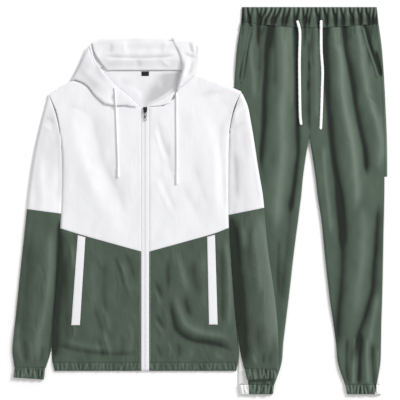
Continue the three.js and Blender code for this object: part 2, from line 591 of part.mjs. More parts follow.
const JACKET_SIDE = { wide: 7, to: LAID_ON };
const ZIP_EDGE = { l: ZIP_X - ZIP_HALF - 0.2, r: ZIP_X + ZIP_HALF + 0.2 };
const HEM_PUCKERS = 11;
function jacketFronts() {
  const columns = 8;
  for (const [hand, body, chevron, shoulder, neck, into] of [
    ['l', BODY_LEFT, CHEVRON_LEFT, SHOULDER_LEFT, NECK_LEFT, 1],
    ['r', BODY_RIGHT, CHEVRON_RIGHT, SHOULDER_RIGHT, NECK_RIGHT, -1],
  ]) {
    const zip = (low, high) => straight([ZIP_EDGE[hand], low], [ZIP_EDGE[hand], high]);
    const arrange = (side, centre) => (into > 0 ? { left: side, right: centre } : { left: centre, right: side });
    const seamAt = into > 0 ? chevron[0][1] : chevron[chevron.length - 1][1];
    const zipAt = into > 0 ? chevron[chevron.length - 1][1] : chevron[0][1];
    const tip = into > 0 ? shoulder[0] : shoulder[shoulder.length - 1];
    const seam = line(...chevron);
    const armhole = (160 - seamAt) / (tip[1] - seamAt);
    const side = { ...JACKET_SIDE, share: (t) => 1 - smooth(armhole - 0.1, armhole + 0.03, t) };
    const topLine = into > 0 ? [...shoulder, ...neck.slice(1)] : [...neck, ...shoulder.slice(1)];
    const shoulderShare = into > 0 ? 0.25 : 0.5;
    const overShoulder = {
      wide: 6,
      to: (x, y) => Math.max(LAID_ON, underJacket(x, y)),
      share: (s) => (into > 0
        ? 1 - smooth(shoulderShare, shoulderShare + 0.08, s)
        : smooth(shoulderShare - 0.06, shoulderShare, s)),
    };
    const floor = (x, y) => Math.max(LAID_ON, underJacket(x, y));
    panel(`jacket_front_upper_${hand}`, WHITE, {
      ...arrange(rising(body, seamAt, tip[1]), zip(zipAt, ZIP_TOP)), bottom: seam, top: line(...topLine),
    }, { columns, rows: 9, height: jacketTop, floor, edges: { ...arrange(side, undefined), top: overShoulder } });
    const hemSide = [lookUp(body, 1, HEM_TOP, 0), HEM_TOP];
    const hemZip = [ZIP_EDGE[hand], HEM_TOP];
    const hemTop = into > 0 ? straight(hemSide, hemZip) : straight(hemZip, hemSide);
    panel(`jacket_front_lower_${hand}`, GREEN, {
      ...arrange(rising(body, HEM_TOP, seamAt), zip(HEM_TOP, zipAt)), bottom: hemTop, top: seam,
    }, { columns, rows: 9, height: jacketTop, floor, edges: arrange(JACKET_SIDE, undefined) });
    const foot = [lookUp(body, 1, HEM_BOTTOM, 0), HEM_BOTTOM];
    const footZip = [ZIP_EDGE[hand], HEM_BOTTOM];
    const along = (x) => (x - hemSide[0]) / (hemZip[0] - hemSide[0]);
    const puckered = (x, y) => jacketTop(x, y) + gathers(HEM_PUCKERS, 1, along(x));
    panel(`jacket_hem_${hand}`, GREEN, {
      ...arrange(straight(foot, hemSide), straight(footZip, hemZip)),
      bottom: into > 0 ? straight(foot, footZip) : straight(footZip, foot), top: hemTop,
    }, {
      columns: HEM_PUCKERS * 2, rows: 1, height: puckered, floor,
      edges: { ...arrange(JACKET_SIDE, undefined), bottom: { wide: 5, to: LAID_ON } },
    });
  }
}

// Sleeves: the upper and lower cloth and the elastic cuff, each a flattened tube
const SLEEVE_OUT_LEFT = [
  [-454, -408], [-458.6, -366], [-452, -298], [-439, -173], [-423, -22], [-418, 28], [-407, 104], [-396, 160],
  [-382, 217], [-370.5, 259],
];
const SLEEVE_IN_LEFT = [
  [-379, -410], [-370.5, -388], [-366, -362], [-364, -330], [-360.8, -280], [-350.2, -156], [-343.6, -67],
  [-339, 26], [-339.6, 124], [-342, 156],
];
const SLEEVE_IN_RIGHT = [
  [109, -411], [103.5, -390], [98, -362], [93.5, -330], [87, -280], [77.5, -156], [72, -67], [70.8, 26],
  [71.8, 124], [73, 156],
];
const SLEEVE_LOFT = 9;
const SLEEVE_TUCK = 4.2; // thickness of a sleeve's inner edge, pressed under the body's edge
const CUFF_GATHERS = 8;
const ARMHOLE_BOW = 4; // how far the sleeve's head curves into the body
function sleeves() {
  for (const [hand, outer, inner, base, seamOut, seamIn, head] of [
    ['l', SLEEVE_OUT_LEFT, SLEEVE_IN_LEFT, () => 0, -21, -32, 259],
    ['r', SLEEVE_OUT_RIGHT, SLEEVE_IN_RIGHT, underJacket, -18, -35, 266],
  ]) {
    const left = hand === 'l';
    const under = left ? 2 : 6;
    const arrange = (out, into) => (left ? { left: out, right: into } : { left: into, right: out });
    const innerShare = (share) => (left ? 1 - share : share);
    const thick = (flatness) => (p, share, t) => {
      const rise = smooth(0, 0.28, innerShare(share));
      const plain = lerp(lerp(SLEEVE_TUCK, SLEEVE_LOFT, rise), JACKET_LOFT, flatness(t));
      return plain + foldHeight(SLEEVE_FOLDS, p.x, p.y) * rise;
    };
    const cuffAt = { out: outer[0][1], in: inner[0][1] };
    const gap = SEAM / 2;
    tube(`sleeve_upper_${hand}`, WHITE, {
      ...arrange(rising(outer, seamOut + gap, head), rising(inner, seamIn + gap, 156)),
      rings: 8, across: 5, under, base,
      thick: thick((t) => smooth(0.7, 1, t)), bow: (t) => ARMHOLE_BOW * smooth(0.3, 1, t),
    });
    tube(`sleeve_lower_${hand}`, GREEN, {
      ...arrange(rising(outer, cuffAt.out + gap, seamOut - gap), rising(inner, cuffAt.in + gap, seamIn - gap)),
      rings: 10, across: 5, under, base, thick: thick(() => 0),
    });
    const [foot, wrist] = left
      ? [[[-457, -433], [-382, -438]], [outer[0], inner[0]]]
      : [[[184, -435], [115, -438]], [outer[0], inner[0]]];
    const down = ([x, y]) => [x, y - gap];
    tube(`jacket_cuff_${hand}`, GREEN, {
      ...arrange(straight(foot[0], down(wrist[0])), straight(foot[1], down(wrist[1]))),
      rings: 2, across: CUFF_GATHERS * 2, under, base, round: 4,
      thick: (p, share) => SLEEVE_LOFT - 0.5 + gathers(CUFF_GATHERS, 1.1, share),
    });
  }
}

// The level of everything already laid down around a point
function restOn(x, y, reach = 2) {
  const around = [[0, 0], [reach, 0], [-reach, 0], [0, reach], [0, -reach]];
  return Math.max(...around.map(([dx, dy]) => topAt(x + dx, y + dy)));
}

// A flat strip laid on what is already there, made from the points under it, moved out
function strip(name, material, border, { columns, rows, wall, lift = 0.4, edges }) {
  return panel(name, material, border, {
    columns, rows, wall, edges, inset: 0,
    height: (x, y) => restOn(x, y) + lift + wall, floor: (x, y) => restOn(x, y) + lift * 0.7,
  });
}

// Pocket welts of the jacket and the stitched pocket mouths of the trousers
function pockets() {
  const jacketWelts = {
    l: { left: [[-315, -305], [-299, -85]], right: [[-294, -305], [-280.5, -90]] },
    r: { left: [[22, -303.5], [17.5, -89]], right: [[43, -303.5], [36.5, -84]] },
  };
  for (const [hand, { left, right }] of Object.entries(jacketWelts)) {
    strip(`pocket_welt_${hand}`, WHITE, {
      left: straight(...left), right: straight(...right),
      bottom: straight(left[0], right[0]), top: straight(left[1], right[1]),
    }, { columns: 3, rows: 10, wall: 1.2 });
  }
  const mouths = {
    l: [[97, 290], [103, 330], [112, 385], [122, 426]],
    r: [[438, 302], [430, 330], [416, 370], [402, 422]],
  };
  const mouthWidth = 7;
  for (const [hand, points] of Object.entries(mouths)) {
    const low = line(...points);
    const high = line(...points.map(([x, y]) => [x + (hand === 'l' ? mouthWidth : -mouthWidth), y - 1]));
    const [left, right] = hand === 'l' ? [low, high] : [high, low];
    const bottom = crosswise(left, right, 0);
    const top = crosswise(left, right, 1);
    strip(`pocket_mouth_${hand}`, TROUSER, { left, right, bottom, top }, {
      columns: 2, rows: 9, wall: 1.2,
    });
  }
}

// The closed zip: two tapes edge to edge, the slider at the top and its pull tab
const TAPE_LEVEL = (y) => jacketTop(ZIP_X, y);
function zip() {
  const middle = 0.15;
  for (const [hand, outer, inner] of [
    ['l', ZIP_X - ZIP_HALF, ZIP_X - middle],
    ['r', ZIP_X + middle, ZIP_X + ZIP_HALF],
  ]) {
    panel(`zip_tape_${hand}`, WHITE, {
      left: straight([outer, HEM_BOTTOM], [outer, ZIP_TOP]),
      right: straight([inner, HEM_BOTTOM], [inner, ZIP_TOP]),
      bottom: straight([outer, HEM_BOTTOM], [inner, HEM_BOTTOM]),
      top: straight([outer, ZIP_TOP], [inner, ZIP_TOP]),
    }, {
      columns: 1, rows: 24, inset: 0, height: (x, y) => TAPE_LEVEL(y), floor: flatLevel(LAID_ON),
      edges: { bottom: { wide: 4, to: LAID_ON } },
    });
  }
}

// Hood: opened out and laid above the neck, its crown folded away behind
const CROWN_LOFT = 6;
const CROWN_OUTLINE = {
  left: [[-311, 298], [-290, 336], [-269, 378], [-262, 389]],
  top: [[-262, 389], [-240, 394], [-147, 399], [-49, 394], [-20, 390], [-4, 381]],
  right: [[-7, 313.5], [-1, 330], [1, 351], [-4, 381]],
  bottom: [[-311, 298], [-262, 316], [-222, 333], [-128, 330], [-42, 328], [-7, 313.5]],
};
const RIM = [
  [-268, 382], [-255, 340], [-238, 317], [-218, 293], [-203, 278], [-186, 263], [-171, 251], [-150, 231.5],
];
const RIM_SEAM = RIM.map(([x, y]) => [x - 3.4, y - 2.6]);
const hoodCentreTop = (x, y) => {
  const rise = 4.4 + 8.6 * smooth(318, 348, y) + 2.2 * smooth(372, 380, y);
  return rise - 2 * Math.exp(-(((y - 375) / 4) ** 2));
};
const HOOD_LOFT = 13.5;
function hood() {
  const sides = Object.entries(CROWN_OUTLINE);
  const outline = Object.fromEntries(sides.map(([side, points]) => [side, line(...points)]));
  const low = { wide: 7, to: 0.8 };
  const allRound = { left: low, right: low, top: low, bottom: low };
  const crown = { columns: 6, rows: 2, height: flatLevel(CROWN_LOFT), edges: allRound };
  block('hood_crown_fold', WHITE, outline, crown);

  const centre = {
    left: line([-226, 319], [-244, 340], [-258, 364], [-263, 387]),
    right: line([-38, 319], [-41, 350], [-53, 376], [-64, 396]),
    bottom: line([-226, 319], [-128, 319], [-38, 319]),
    top: line([-263, 387], [-240, 396.5], [-216, 399], [-147, 401.5], [-86, 400], [-64, 396]),
  };
  const aboveCrown = (x, y) => (y > 332 ? CROWN_LOFT + SEAM : LAID_ON);
  panel('hood_centre', WHITE, centre, {
    columns: 8, rows: 6, height: hoodCentreTop, floor: aboveCrown,
    edges: { top: { wide: 6, to: CROWN_LOFT + 0.8 } },
  });

  const wing = {
    left: line([-313.5, 295], [-292, 336], [-273, 377]), right: straight([-158, 230.9], [-157.4, 231.5]),
    bottom: line([-313.5, 295], ...NECK_LEFT.slice(1, -1).map(([x, y]) => [x, y + 0.5]), [-158, 230.9]),
    top: line([-273, 377], ...RIM_SEAM.slice(1, -1), [-157.4, 231.5]),
  };
  panel('hood_side_l', WHITE, wing, {
    columns: 9, rows: 4, height: flatLevel(HOOD_LOFT),
    floor: (x, y) => (topAt(x, y) > 2 ? topAt(x, y) + SEAM : LAID_ON),
    edges: { left: { wide: 7, to: CROWN_LOFT + 0.8 }, bottom: { wide: 6, to: JACKET_LOFT + 1 } },
  });
}

// The hem of the hood's opening on the left hand, a folded channel for the cord
function hoodRim() {
  const seam = RIM_SEAM.map(([x, y]) => [x + 0.7, y + 0.8]);
  panel('hood_rim_l', WHITE, {
    left: straight(seam[0], RIM[0]), right: straight(seam[seam.length - 1], RIM[RIM.length - 1]),
    bottom: line(...seam), top: line(...RIM),
  }, {
    columns: 14, rows: 1, height: flatLevel(HOOD_LOFT + 1), floor: (x, y) => restOn(x, y, 1) + SEAM,
    edges: { top: { wide: 3.2, to: (x, y) => restOn(x, y, 1) + 4 } },
  });
}

// The hood's right-hand side, inner face up, over the shoulder, and its small turned-back corner
const SIDE_R_LOFT = 17;
function hoodSideRight() {
  const turn = [[-121, 230.5], [-99, 231.6], [-73, 238.8]];
  const rim = [[-121, 232], [-99, 245], [-61, 268.5]];
  panel('hood_corner_r', WHITE, {
    left: straight(turn[0], rim[0]), right: straight(turn[2], rim[2]), bottom: line(...turn), top: line(...rim),
  }, {
    columns: 4, rows: 2, height: flatLevel(JACKET_LOFT + 2), floor: flatLevel(LAID_ON),
    edges: { top: { wide: 3, to: 6 } },
  });
  const side = {
    left: line([-56, 273], [-49, 300], [-43, 328], [-48, 352], [-60, 380], [-70, 396]),
    right: line([-52, 272.5], [-41.7, 280], [-24.5, 295], [-9.8, 310], [-1.2, 329.5], [2.2, 351.6], [0.5, 372]),
    bottom: straight([-56, 273], [-52, 272.5]),
    top: line([-70, 396], [-49, 396.5], [-20, 393], [-5, 385.5], [0.5, 372]),
  };
  const tongue = (x, y) => {
    const ends = smooth(275, 300, y) * (1 - smooth(345, 365, y));
    return 2.2 * Math.exp(-(((x + 33 + 0.28 * (345 - y)) / 6) ** 2)) * ends;
  };
  const diagonal = (x, y) => 1.6 * Math.exp(-(((x + 61 + 0.55 * (y - 381)) / 4) ** 2)) * smooth(345, 360, y);
  const under = (x, y) => restOn(x, y, 4) + 1.1;
  panel('hood_side_r', WHITE, side, {
    columns: 6, rows: 9, height: (x, y) => SIDE_R_LOFT + tongue(x, y) + diagonal(x, y), floor: under, inset: 0,
    edges: {
      left: { wide: 6, to: (x, y) => Math.max(under(x, y), 9) }, right: { wide: 7, to: under },
      top: { wide: 6, to: (x, y) => Math.max(under(x, y), CROWN_LOFT + 1) + 6 * smooth(-30, -60, x) },
    },
  });
}

// A solid between the surface and an upper face
function block(name, material, border, options) {
  const mesh = panel(name, material, border, { ...options, wall: 0.01, inset: 0 });
  const position = mesh.geometry.attributes.position;
  for (let i = position.count / 2; i < position.count; i++) position.setZ(i, 0);
  mesh.geometry.computeVertexNormals();
  return mesh;
}

function neckLabel() {
  const [left, right, low, high] = [-143.3, -125, 305, 316];
  strip('neck_label', LABEL, {
    left: straight([left, low], [left, high]), right: straight([right, low], [right, high]),
    bottom: straight([left, low], [right, low]), top: straight([left, high], [right, high]),
  }, { columns: 2, rows: 1, wall: 1, lift: SEAM });
}

// Slider, pull tab and ring. The tab's bar turns under the bail, so it swings about TAB_PIVOT.
const SLIDER = { x: ZIP_X, y: 222, long: 14, wide: 10, nose: 6.5, thick: 3.2 };
const BAIL = { wide: 2, high: 3.2, bar: 1.1, from: -6, to: 5 };
const SLIDER_BASE = TAPE_LEVEL(SLIDER.y) + 0.5;
const TAB = { wide: 5.6, thick: 1.3, long: 15, window: 13, arm: 1.3, tilt: THREE.MathUtils.degToRad(7.5) };
const TAB_PIVOT = [SLIDER.x, SLIDER.y - 3.6, SLIDER_BASE + SLIDER.thick + 1.35];
const RING = { radius: 3.2, wire: 0.75 };

function extruded(name, material, outline, depth, holes = []) {
  const shape = new THREE.Shape(outline.map(([x, y]) => new THREE.Vector2(x, y)));
  for (const hole of holes) shape.holes.push(new THREE.Path(hole.map(([x, y]) => new THREE.Vector2(x, y))));
  const geometry = new THREE.ExtrudeGeometry(shape, { depth, bevelEnabled: false, curveSegments: 12 });
  const mesh = new THREE.Mesh(geometry, material);
  mesh.name = name;
  return mesh;
}

function slider() {
  const { long, wide, nose, thick } = SLIDER;
  const outline = [
    [-nose / 2, -long / 2], [nose / 2, -long / 2], [wide / 2, long * 0.1], [wide / 2, long * 0.38],
    [wide * 0.33, long / 2], [1, long / 2], [0, long * 0.38], [-1, long / 2],
    [-wide * 0.33, long / 2], [-wide / 2, long * 0.38], [-wide / 2, long * 0.1],
  ];
  const body = extruded('zip_slider', BLACK_METAL, outline, thick);
  body.position.set(SLIDER.x, SLIDER.y, SLIDER_BASE);
  tracksuit.add(body);

  // The bail stands on the slider: an arch seen from the side, as wide as BAIL.wide
  const { from, to, high, bar } = BAIL;
  const arch = [
    [from, 0], [from + bar, 0], [from + bar, high - bar - 0.4], [from + bar + 0.8, high - bar],
    [to - bar - 0.8, high - bar], [to - bar, high - bar - 0.4], [to - bar, 0], [to, 0],
    [to, high - 0.8], [to - 1, high], [from + 1, high], [from, high - 0.8],
  ];
  const bail = extruded('zip_bail', BLACK_METAL, arch, BAIL.wide);
  const [eastward, northward, upward] = [0, 1, 2].map((i) => new THREE.Vector3().setComponent(i, 1));
  bail.quaternion.setFromRotationMatrix(new THREE.Matrix4().makeBasis(northward, upward, eastward));
  bail.position.set(SLIDER.x - BAIL.wide / 2, SLIDER.y, SLIDER_BASE + thick + SEAM);
  tracksuit.add(bail);
}

function pullTab() {
  const group = new THREE.Group();
  group.position.set(...TAB_PIVOT);
  group.rotation.x = TAB.tilt;
  const half = TAB.wide / 2;
  const inside = half - TAB.arm;
  const eye = 0.65;
  const end = -(TAB.long + 1);
  const hole = [
    [-inside, -eye], [-inside, -TAB.window + 1.2], [-inside + 0.8, -TAB.window],
    [inside - 0.8, -TAB.window], [inside, -TAB.window + 1.2], [inside, -eye],
  ];
  const tab = extruded('pull_tab', BLACK_METAL, [
    [-half, eye], [-half, end + 2], [-half + 1.2, end], [half - 1.2, end], [half, end + 2], [half, eye],
  ], TAB.thick, [hole]);
  tab.position.z = -TAB.thick / 2;
  group.add(tab);
  const ring = new THREE.Mesh(new THREE.TorusGeometry(RING.radius, RING.wire, 8, 18), STEEL);
  ring.name = 'pull_ring';
  ring.position.y = end - SEAM - RING.radius - RING.wire;
  group.add(ring);
  tracksuit.add(group);
}

// Cords lie on the cloth from where they leave their channel to their free ends
const HOOD_CORD = { across: 4, thick: 4, sides: 8 };
const WAIST_CORD = { across: 6.5, thick: 1.8, sides: 8 };
function cord(name, material, section, points, { lift = 0.5, spacing = 10 } = {}) {
  const places = points.map(([x, y]) => new THREE.Vector3(x, y, 0));
  const plan = new THREE.CatmullRomCurve3(places, false, 'centripetal');
  const count = Math.round(plan.getLength() / spacing);
  const half = section.across / 2;
  const raised = Array.from({ length: count + 1 }, (_, i) => {
    const p = plan.getPointAt(i / count);
    const beneath = [-1, 0, 1].map((side) => restOn(p.x + side * half, p.y, spacing / 2));
    p.z = Math.max(...beneath) + lift + section.thick / 2;
    return p;
  });
  const eased = raised.map((p, i) => {
    const near = raised.slice(Math.max(0, i - 1), i + 2);
    const mean = near.reduce((sum, q) => sum + q.z, 0) / near.length;
    return new THREE.Vector3(p.x, p.y, Math.max(p.z, mean));
  });
  const route = new THREE.CatmullRomCurve3(eased, false, 'centripetal');
  route.computeFrenetFrames = (steps) => {
    const frames = { tangents: [], normals: [], binormals: [] };
    for (let i = 0; i <= steps; i++) {
      const tangent = route.getTangentAt(i / steps);
      const side = new THREE.Vector3(-tangent.y, tangent.x, 0).normalize();
      frames.tangents.push(tangent);
      frames.normals.push(side);
      frames.binormals.push(tangent.clone().cross(side).normalize());
    }
    return frames;
  };
  const ring = Array.from({ length: section.sides }, (_, i) => {
    const a = (2 * Math.PI * (i + 0.5)) / section.sides;
    return new THREE.Vector2((Math.cos(a) * section.across) / 2, (Math.sin(a) * section.thick) / 2);
  });
  const shape = new THREE.Shape(ring);
  const geometry = new THREE.ExtrudeGeometry(shape, { steps: count, extrudePath: route, bevelEnabled: false });
  const mesh = new THREE.Mesh(geometry, material);
  mesh.name = name;
  tracksuit.add(mesh);
  return eased;
}

const HOOD_CORD_PLAN = {
  l: [[-208.5, 277], [-207, 262], [-205.5, 235], [-203.5, 185], [-201, 124], [-199.7, 84]],
  r: [[-57.5, 264], [-57, 240], [-57, 197], [-56.4, 124], [-56.4, 67]],
};
const WAIST_CORD_PLAN = {
  l: [[237.5, 440], [242, 425], [244.5, 405], [243.2, 342], [243.8, 273], [245, 209], [247.5, 185]],
  r: [[296.2, 441], [296.2, 405], [296.6, 366], [299.6, 317], [298.6, 273], [297, 220], [295.2, 174]],
};
const TIP = { across: 5, thick: 5, sides: 10, long: 27 };
function cords() {
  for (const [hand, points] of Object.entries(HOOD_CORD_PLAN)) {
    cord(`hood_cord_${hand}`, CORD, HOOD_CORD, points);
    const [x, y] = points[points.length - 1];
    const from = y - SEAM;
    const end = [[x, from], [x, from - TIP.long / 2], [x, from - TIP.long]];
    cord(`hood_cord_tip_${hand}`, CORD, TIP, end, { spacing: 9 });
  }
  for (const [hand, points] of Object.entries(WAIST_CORD_PLAN)) {
    cord(`waist_cord_${hand}`, CORD, WAIST_CORD, points, { spacing: 11 });
  }
}

jacketBack();
jacketFronts();
sleeves();
zip();
pockets();
hood();
hoodRim();
hoodSideRight();
neckLabel();
slider();
pullTab();
cords();

export default tracksuit;
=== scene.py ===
"""A hooded zip jacket and jogger trousers laid flat, dressed on the fixed frame of their solids.

Plan sizes are millimetres in the frame's own X and Y, but for the cords' routes, which are metres.
Meshes are made in metres.
"l" and "r" are the left and right hand of someone who looks down on the garments.
"""
import math
import random

import bpy
import numpy as np
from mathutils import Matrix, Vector
from mathutils.bvhtree import BVHTree
from mathutils.geometry import delaunay_2d_cdt


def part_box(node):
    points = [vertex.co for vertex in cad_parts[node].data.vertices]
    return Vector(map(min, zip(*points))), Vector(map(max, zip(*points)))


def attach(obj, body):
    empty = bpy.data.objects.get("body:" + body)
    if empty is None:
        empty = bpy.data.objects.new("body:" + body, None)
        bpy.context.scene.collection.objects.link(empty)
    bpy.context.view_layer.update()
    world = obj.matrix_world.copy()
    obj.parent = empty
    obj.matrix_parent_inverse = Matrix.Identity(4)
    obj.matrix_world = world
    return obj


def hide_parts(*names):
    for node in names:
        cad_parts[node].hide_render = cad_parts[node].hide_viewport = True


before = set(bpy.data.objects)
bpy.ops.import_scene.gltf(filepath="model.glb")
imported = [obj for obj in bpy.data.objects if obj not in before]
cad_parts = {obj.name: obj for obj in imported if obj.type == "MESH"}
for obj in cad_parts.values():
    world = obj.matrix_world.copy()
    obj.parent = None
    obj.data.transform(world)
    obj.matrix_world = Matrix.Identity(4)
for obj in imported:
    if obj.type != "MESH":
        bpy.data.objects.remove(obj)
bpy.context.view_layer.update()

bl_info = {
    "name": "Flat-laid tracksuit",
    "version": (1, 0, 0),
    "blender": (4, 5, 0),
    "location": "3D View > Sidebar > Tracksuit",
    "description": "Dresses a flat-laid jacket and trousers with cloth, sewing, zip and cords",
    "category": "Add Mesh",
}

MM = 0.001
BODY = "cloth"
DEEP_FOLD = 4.0  # depth at which a fold's shade is full
DEEP_GATHER = 2.2  # the same for the small folds of an elastic edge
ENDS = 5.0  # half widths over which a crease rises from nothing
MOST_RUMPLE = 1.2  # share of the rumple that cloth with the highest folds gets
MOST_SUNK = 0.6  # share of the room under a skin that a fold may sink into
BACK_LEVEL = 1.8  # top of the back panels, which nothing above them sinks into
ON_RIM = 0.05  # how near its border a point counts as on it
SEAM_WIDTH = 1.7  # distance from a seam over which its valley levels out
SIDE_ROLL = 2.5  # distance from a folded side over which a tube's lower skin levels out
SIDE_SPREAD = 1.1  # how far the soft sides of body and sleeves lean against each other
NARROWEST_CUT = 10.5  # width of the zip's woven tape


def linear(red, green, blue):
    """A screen colour of 0 to 255 as the linear values that shaders take."""
    return tuple(
        (c / 255 / 12.92) if c < 11 else ((c / 255 + 0.055) / 1.055) ** 2.4
        for c in (red, green, blue))


# Sizes and colours that a user would change

class TRACKSUIT_PG_cloth(bpy.types.PropertyGroup):
    """Sizes of the cloth and its sewing."""
    cell: bpy.props.FloatProperty(
        name="Cell", description="Spacing of the points in a cloth mesh", default=3 * MM, unit="LENGTH")
    wall: bpy.props.FloatProperty(
        name="Wall", description="Thickness of one layer of cloth", default=0.9 * MM, unit="LENGTH")
    edge: bpy.props.FloatProperty(
        name="Edge", description="Width over which a folded edge rounds down",
        default=6 * MM, unit="LENGTH")
    seam: bpy.props.FloatProperty(
        name="Seam", description="Depth of the valley along a seam", default=0.7 * MM, unit="LENGTH")
    trouser_folds: bpy.props.FloatProperty(
        name="Trouser folds", description="How high the trousers' creases stand against their table",
        default=1.2)
    panel_folds: bpy.props.FloatProperty(
        name="Panel folds", description="How high the side panels' creases stand against their table",
        default=0.4)
    green_folds: bpy.props.FloatProperty(
        name="Green folds", description="How high the green cloth's creases stand against their table",
        default=1.3)
    white_folds: bpy.props.FloatProperty(
        name="White folds", description="How high the white cloth's creases stand against their table",
        default=0.7)
    gathers: bpy.props.FloatProperty(
        name="Gathers", description="Height of the waistband's gathers", default=3.6 * MM, unit="LENGTH")
    stitch: bpy.props.FloatProperty(
        name="Stitch", description="Length of one stitch", default=2.2 * MM, unit="LENGTH")
    thread: bpy.props.FloatProperty(
        name="Thread", description="Thickness of the sewing thread", default=0.45 * MM, unit="LENGTH")


class TRACKSUIT_PG_zip(bpy.types.PropertyGroup):
    """Sizes of the zip and the cords."""
    pitch: bpy.props.FloatProperty(
        name="Tooth pitch", description="Distance from one zip tooth to the next",
        default=2.5 * MM, unit="LENGTH")
    tooth: bpy.props.FloatProperty(
        name="Tooth width", description="Width of the closed row of teeth", default=5 * MM, unit="LENGTH")
    hood_cord: bpy.props.FloatProperty(
        name="Hood cord", description="Diameter of the hood's cord", default=4 * MM, unit="LENGTH")
    waist_cord: bpy.props.FloatProperty(
        name="Waist cord", description="Width of the flat waist cord", default=6.5 * MM, unit="LENGTH")


class TRACKSUIT_PG_colours(bpy.types.PropertyGroup):
    """Colours of the cloth, cords and metal."""
    white: bpy.props.FloatVectorProperty(
        name="White shell", description="White cloth of the jacket", subtype="COLOR",
        default=linear(236, 236, 239))
    green: bpy.props.FloatVectorProperty(
        name="Green shell", description="Green cloth of the jacket", subtype="COLOR",
        default=linear(72, 86, 73))
    trouser: bpy.props.FloatVectorProperty(
        name="Green trouser", description="Green cloth of the trousers", subtype="COLOR",
        default=linear(76, 91, 78))
    panel: bpy.props.FloatVectorProperty(
        name="White panel", description="White side panels of the trousers", subtype="COLOR",
        default=linear(236, 236, 235))
    cord: bpy.props.FloatVectorProperty(
        name="Cord", description="White cords", subtype="COLOR", default=linear(248, 248, 248))
    label: bpy.props.FloatVectorProperty(
        name="Label", description="Bare neck label", subtype="COLOR", default=linear(18, 18, 20))
    metal: bpy.props.FloatVectorProperty(
        name="Black metal", description="Slider, bail and pull tab", subtype="COLOR",
        default=linear(22, 22, 24))
    steel: bpy.props.FloatVectorProperty(
        name="Bright metal", description="Ring of the pull tab", subtype="COLOR",
        default=linear(205, 205, 210))
    floor: bpy.props.FloatVectorProperty(
        name="Floor", description="Pale floor", subtype="COLOR", default=(1.0, 1.0, 1.0))


# Main creases: points along one, half width, height (below zero is a trough) and lean towards its left. Each
# also paints shade into its trough and a highlight on its ridge.
TROUSER_CREASES = (
    (((176, 478), (169, 423), (163, 369), (161, 320), (157, 271), (156, 222), (154, 173), (149, 124),
      (144, 75), (137, 10)), 8, -4.6, 0.25),
    (((196, 478), (203, 408), (206, 369), (207, 320), (203, 271), (198, 222), (200, 124), (197, 75), (189, 1),
      (181, -90)), 14, 3.2, 0.1),
    (((182, 462), (180, 400), (183, 330), (180, 270)), 5, -1.3, 0.2),
    (((240, 478), (237, 418), (236, 369), (236, 271), (238, 197), (240, 124), (235, 75), (229, 26),
      (220, -36)), 6.5, -4.2, -0.2),
    (((224, 20), (215, -97), (206, -170), (198, -260)), 8, -1.7, 0.0),
    (((220, 466), (222, 380), (226, 300), (222, 220)), 5, 1.4, 0.0),
    (((265, 400), (265, 300), (265, 246), (266, 165)), 5, -2.2, 0.0),
    (((284, 460), (284, 415), (284, 300), (284, 190)), 5, 1.2, 0.0),
    (((274, 440), (272, 380), (276, 320)), 3.5, -1.6, 0.2),
    (((124, 478), (124, 425), (122, 360), (130, 300), (128, 240)), 7, 1.8, 0.0),
    (((140, 470), (140, 420), (146, 360), (143, 300)), 5, -1.5, 0.2),
    (((310, 478), (306, 423), (306, 369), (309, 320), (311, 271), (314, 222), (319, 173), (323, 124),
      (330, 75), (337, 26), (343, -23), (347, -72), (348, -130)), 8.5, -4.8, 0.2),
    (((336, 60), (345, -40), (349, -146), (345, -219), (338, -293), (338, -380)), 11, -3.2, 0.0),
    (((328, 478), (333, 408), (343, 320), (345, 271), (353, 222), (363, 173), (372, 124), (377, 75),
      (382, 13), (375, -36)), 11, 3.6, 0.1),
    (((350, 478), (352, 423), (356, 369), (367, 320), (375, 271), (382, 222), (392, 173), (402, 124),
      (408, 50)), 7.5, -4.4, 0.2),
    (((376, 478), (387, 410), (394, 369), (398, 320), (407, 271), (421, 222), (436, 173), (441, 124),
      (434, 60)), 10, 3.0, 0.0),
    (((404, 478), (402, 420), (410, 370), (414, 320)), 5, -1.8, 0.2),
    (((299, 140), (306, 50), (314, -23), (320, -90)), 6, 2.2, 0.0),
    (((436, 0), (431, -97), (426, -158), (421, -219), (407, -273), (390, -322), (377, -366), (367, -410)),
     9, -3.6, 0.1),
    (((397, 0), (397, -97), (392, -170), (382, -244), (372, -300)), 13, 2.4, 0.0),
    (((434, -220), (424, -280), (416, -330), (412, -365)), 7, 2.4, 0.0),
    (((360, -330), (358, -405), (364, -460)), 5, -2.6, 0.0),
    (((394, -320), (390, -395), (387, -460)), 5, -3.8, 0.2),
    (((378, -330), (375, -400), (374, -460)), 4, 2.6, 0.0),
    (((421, -345), (422, -405), (426, -460)), 4, -2.8, 0.2),
    (((407, -330), (408, -400), (411, -460)), 4.5, 2.6, 0.0),
    (((434, -360), (434, -410), (438, -460)), 3.5, 1.8, 0.0),
    (((192, -90), (190, -180), (188, -280), (184, -380)), 5, -1.6, 0.0),
    (((178, -385), (176, -420), (178, -460)), 4, -2.4, 0.0),
    (((168, -390), (167, -425), (168, -460)), 3.5, 2.0, 0.0),
    (((158, -400), (157, -430), (158, -460)), 3.5, -2.0, 0.0),
    (((126, 440), (117, 384), (107, 330), (98, 286)), 3.4, -5.0, 0.3),
    (((402, 440), (420, 372), (435, 330), (445, 298)), 3.4, -5.0, -0.3),
    (((261, 345), (266, 330), (264, 310)), 3, -1.5, 0.3),
    (((258, 300), (264, 285), (262, 262)), 3, -1.2, 0.0),
    # Painted shade: a deep trough that darkens the side panel where it shows in the narrow gap between the
    # jacket and its right sleeve
    (((72, -60), (82, -180), (88, -270), (91, -340)), 7, -8.0, 0.0),
    (((429, 372), (437, 335), (446, 300)), 3.6, -4.5, -0.2),
    (((112, 372), (104, 335), (96, 290)), 3.2, -3.5, 0.2),
    (((405, 262), (424, 245), (438, 230)), 4, -1.2, 0.2),
    (((150, 320), (143, 290), (140, 250)), 5, -1.2, 0.0),
)
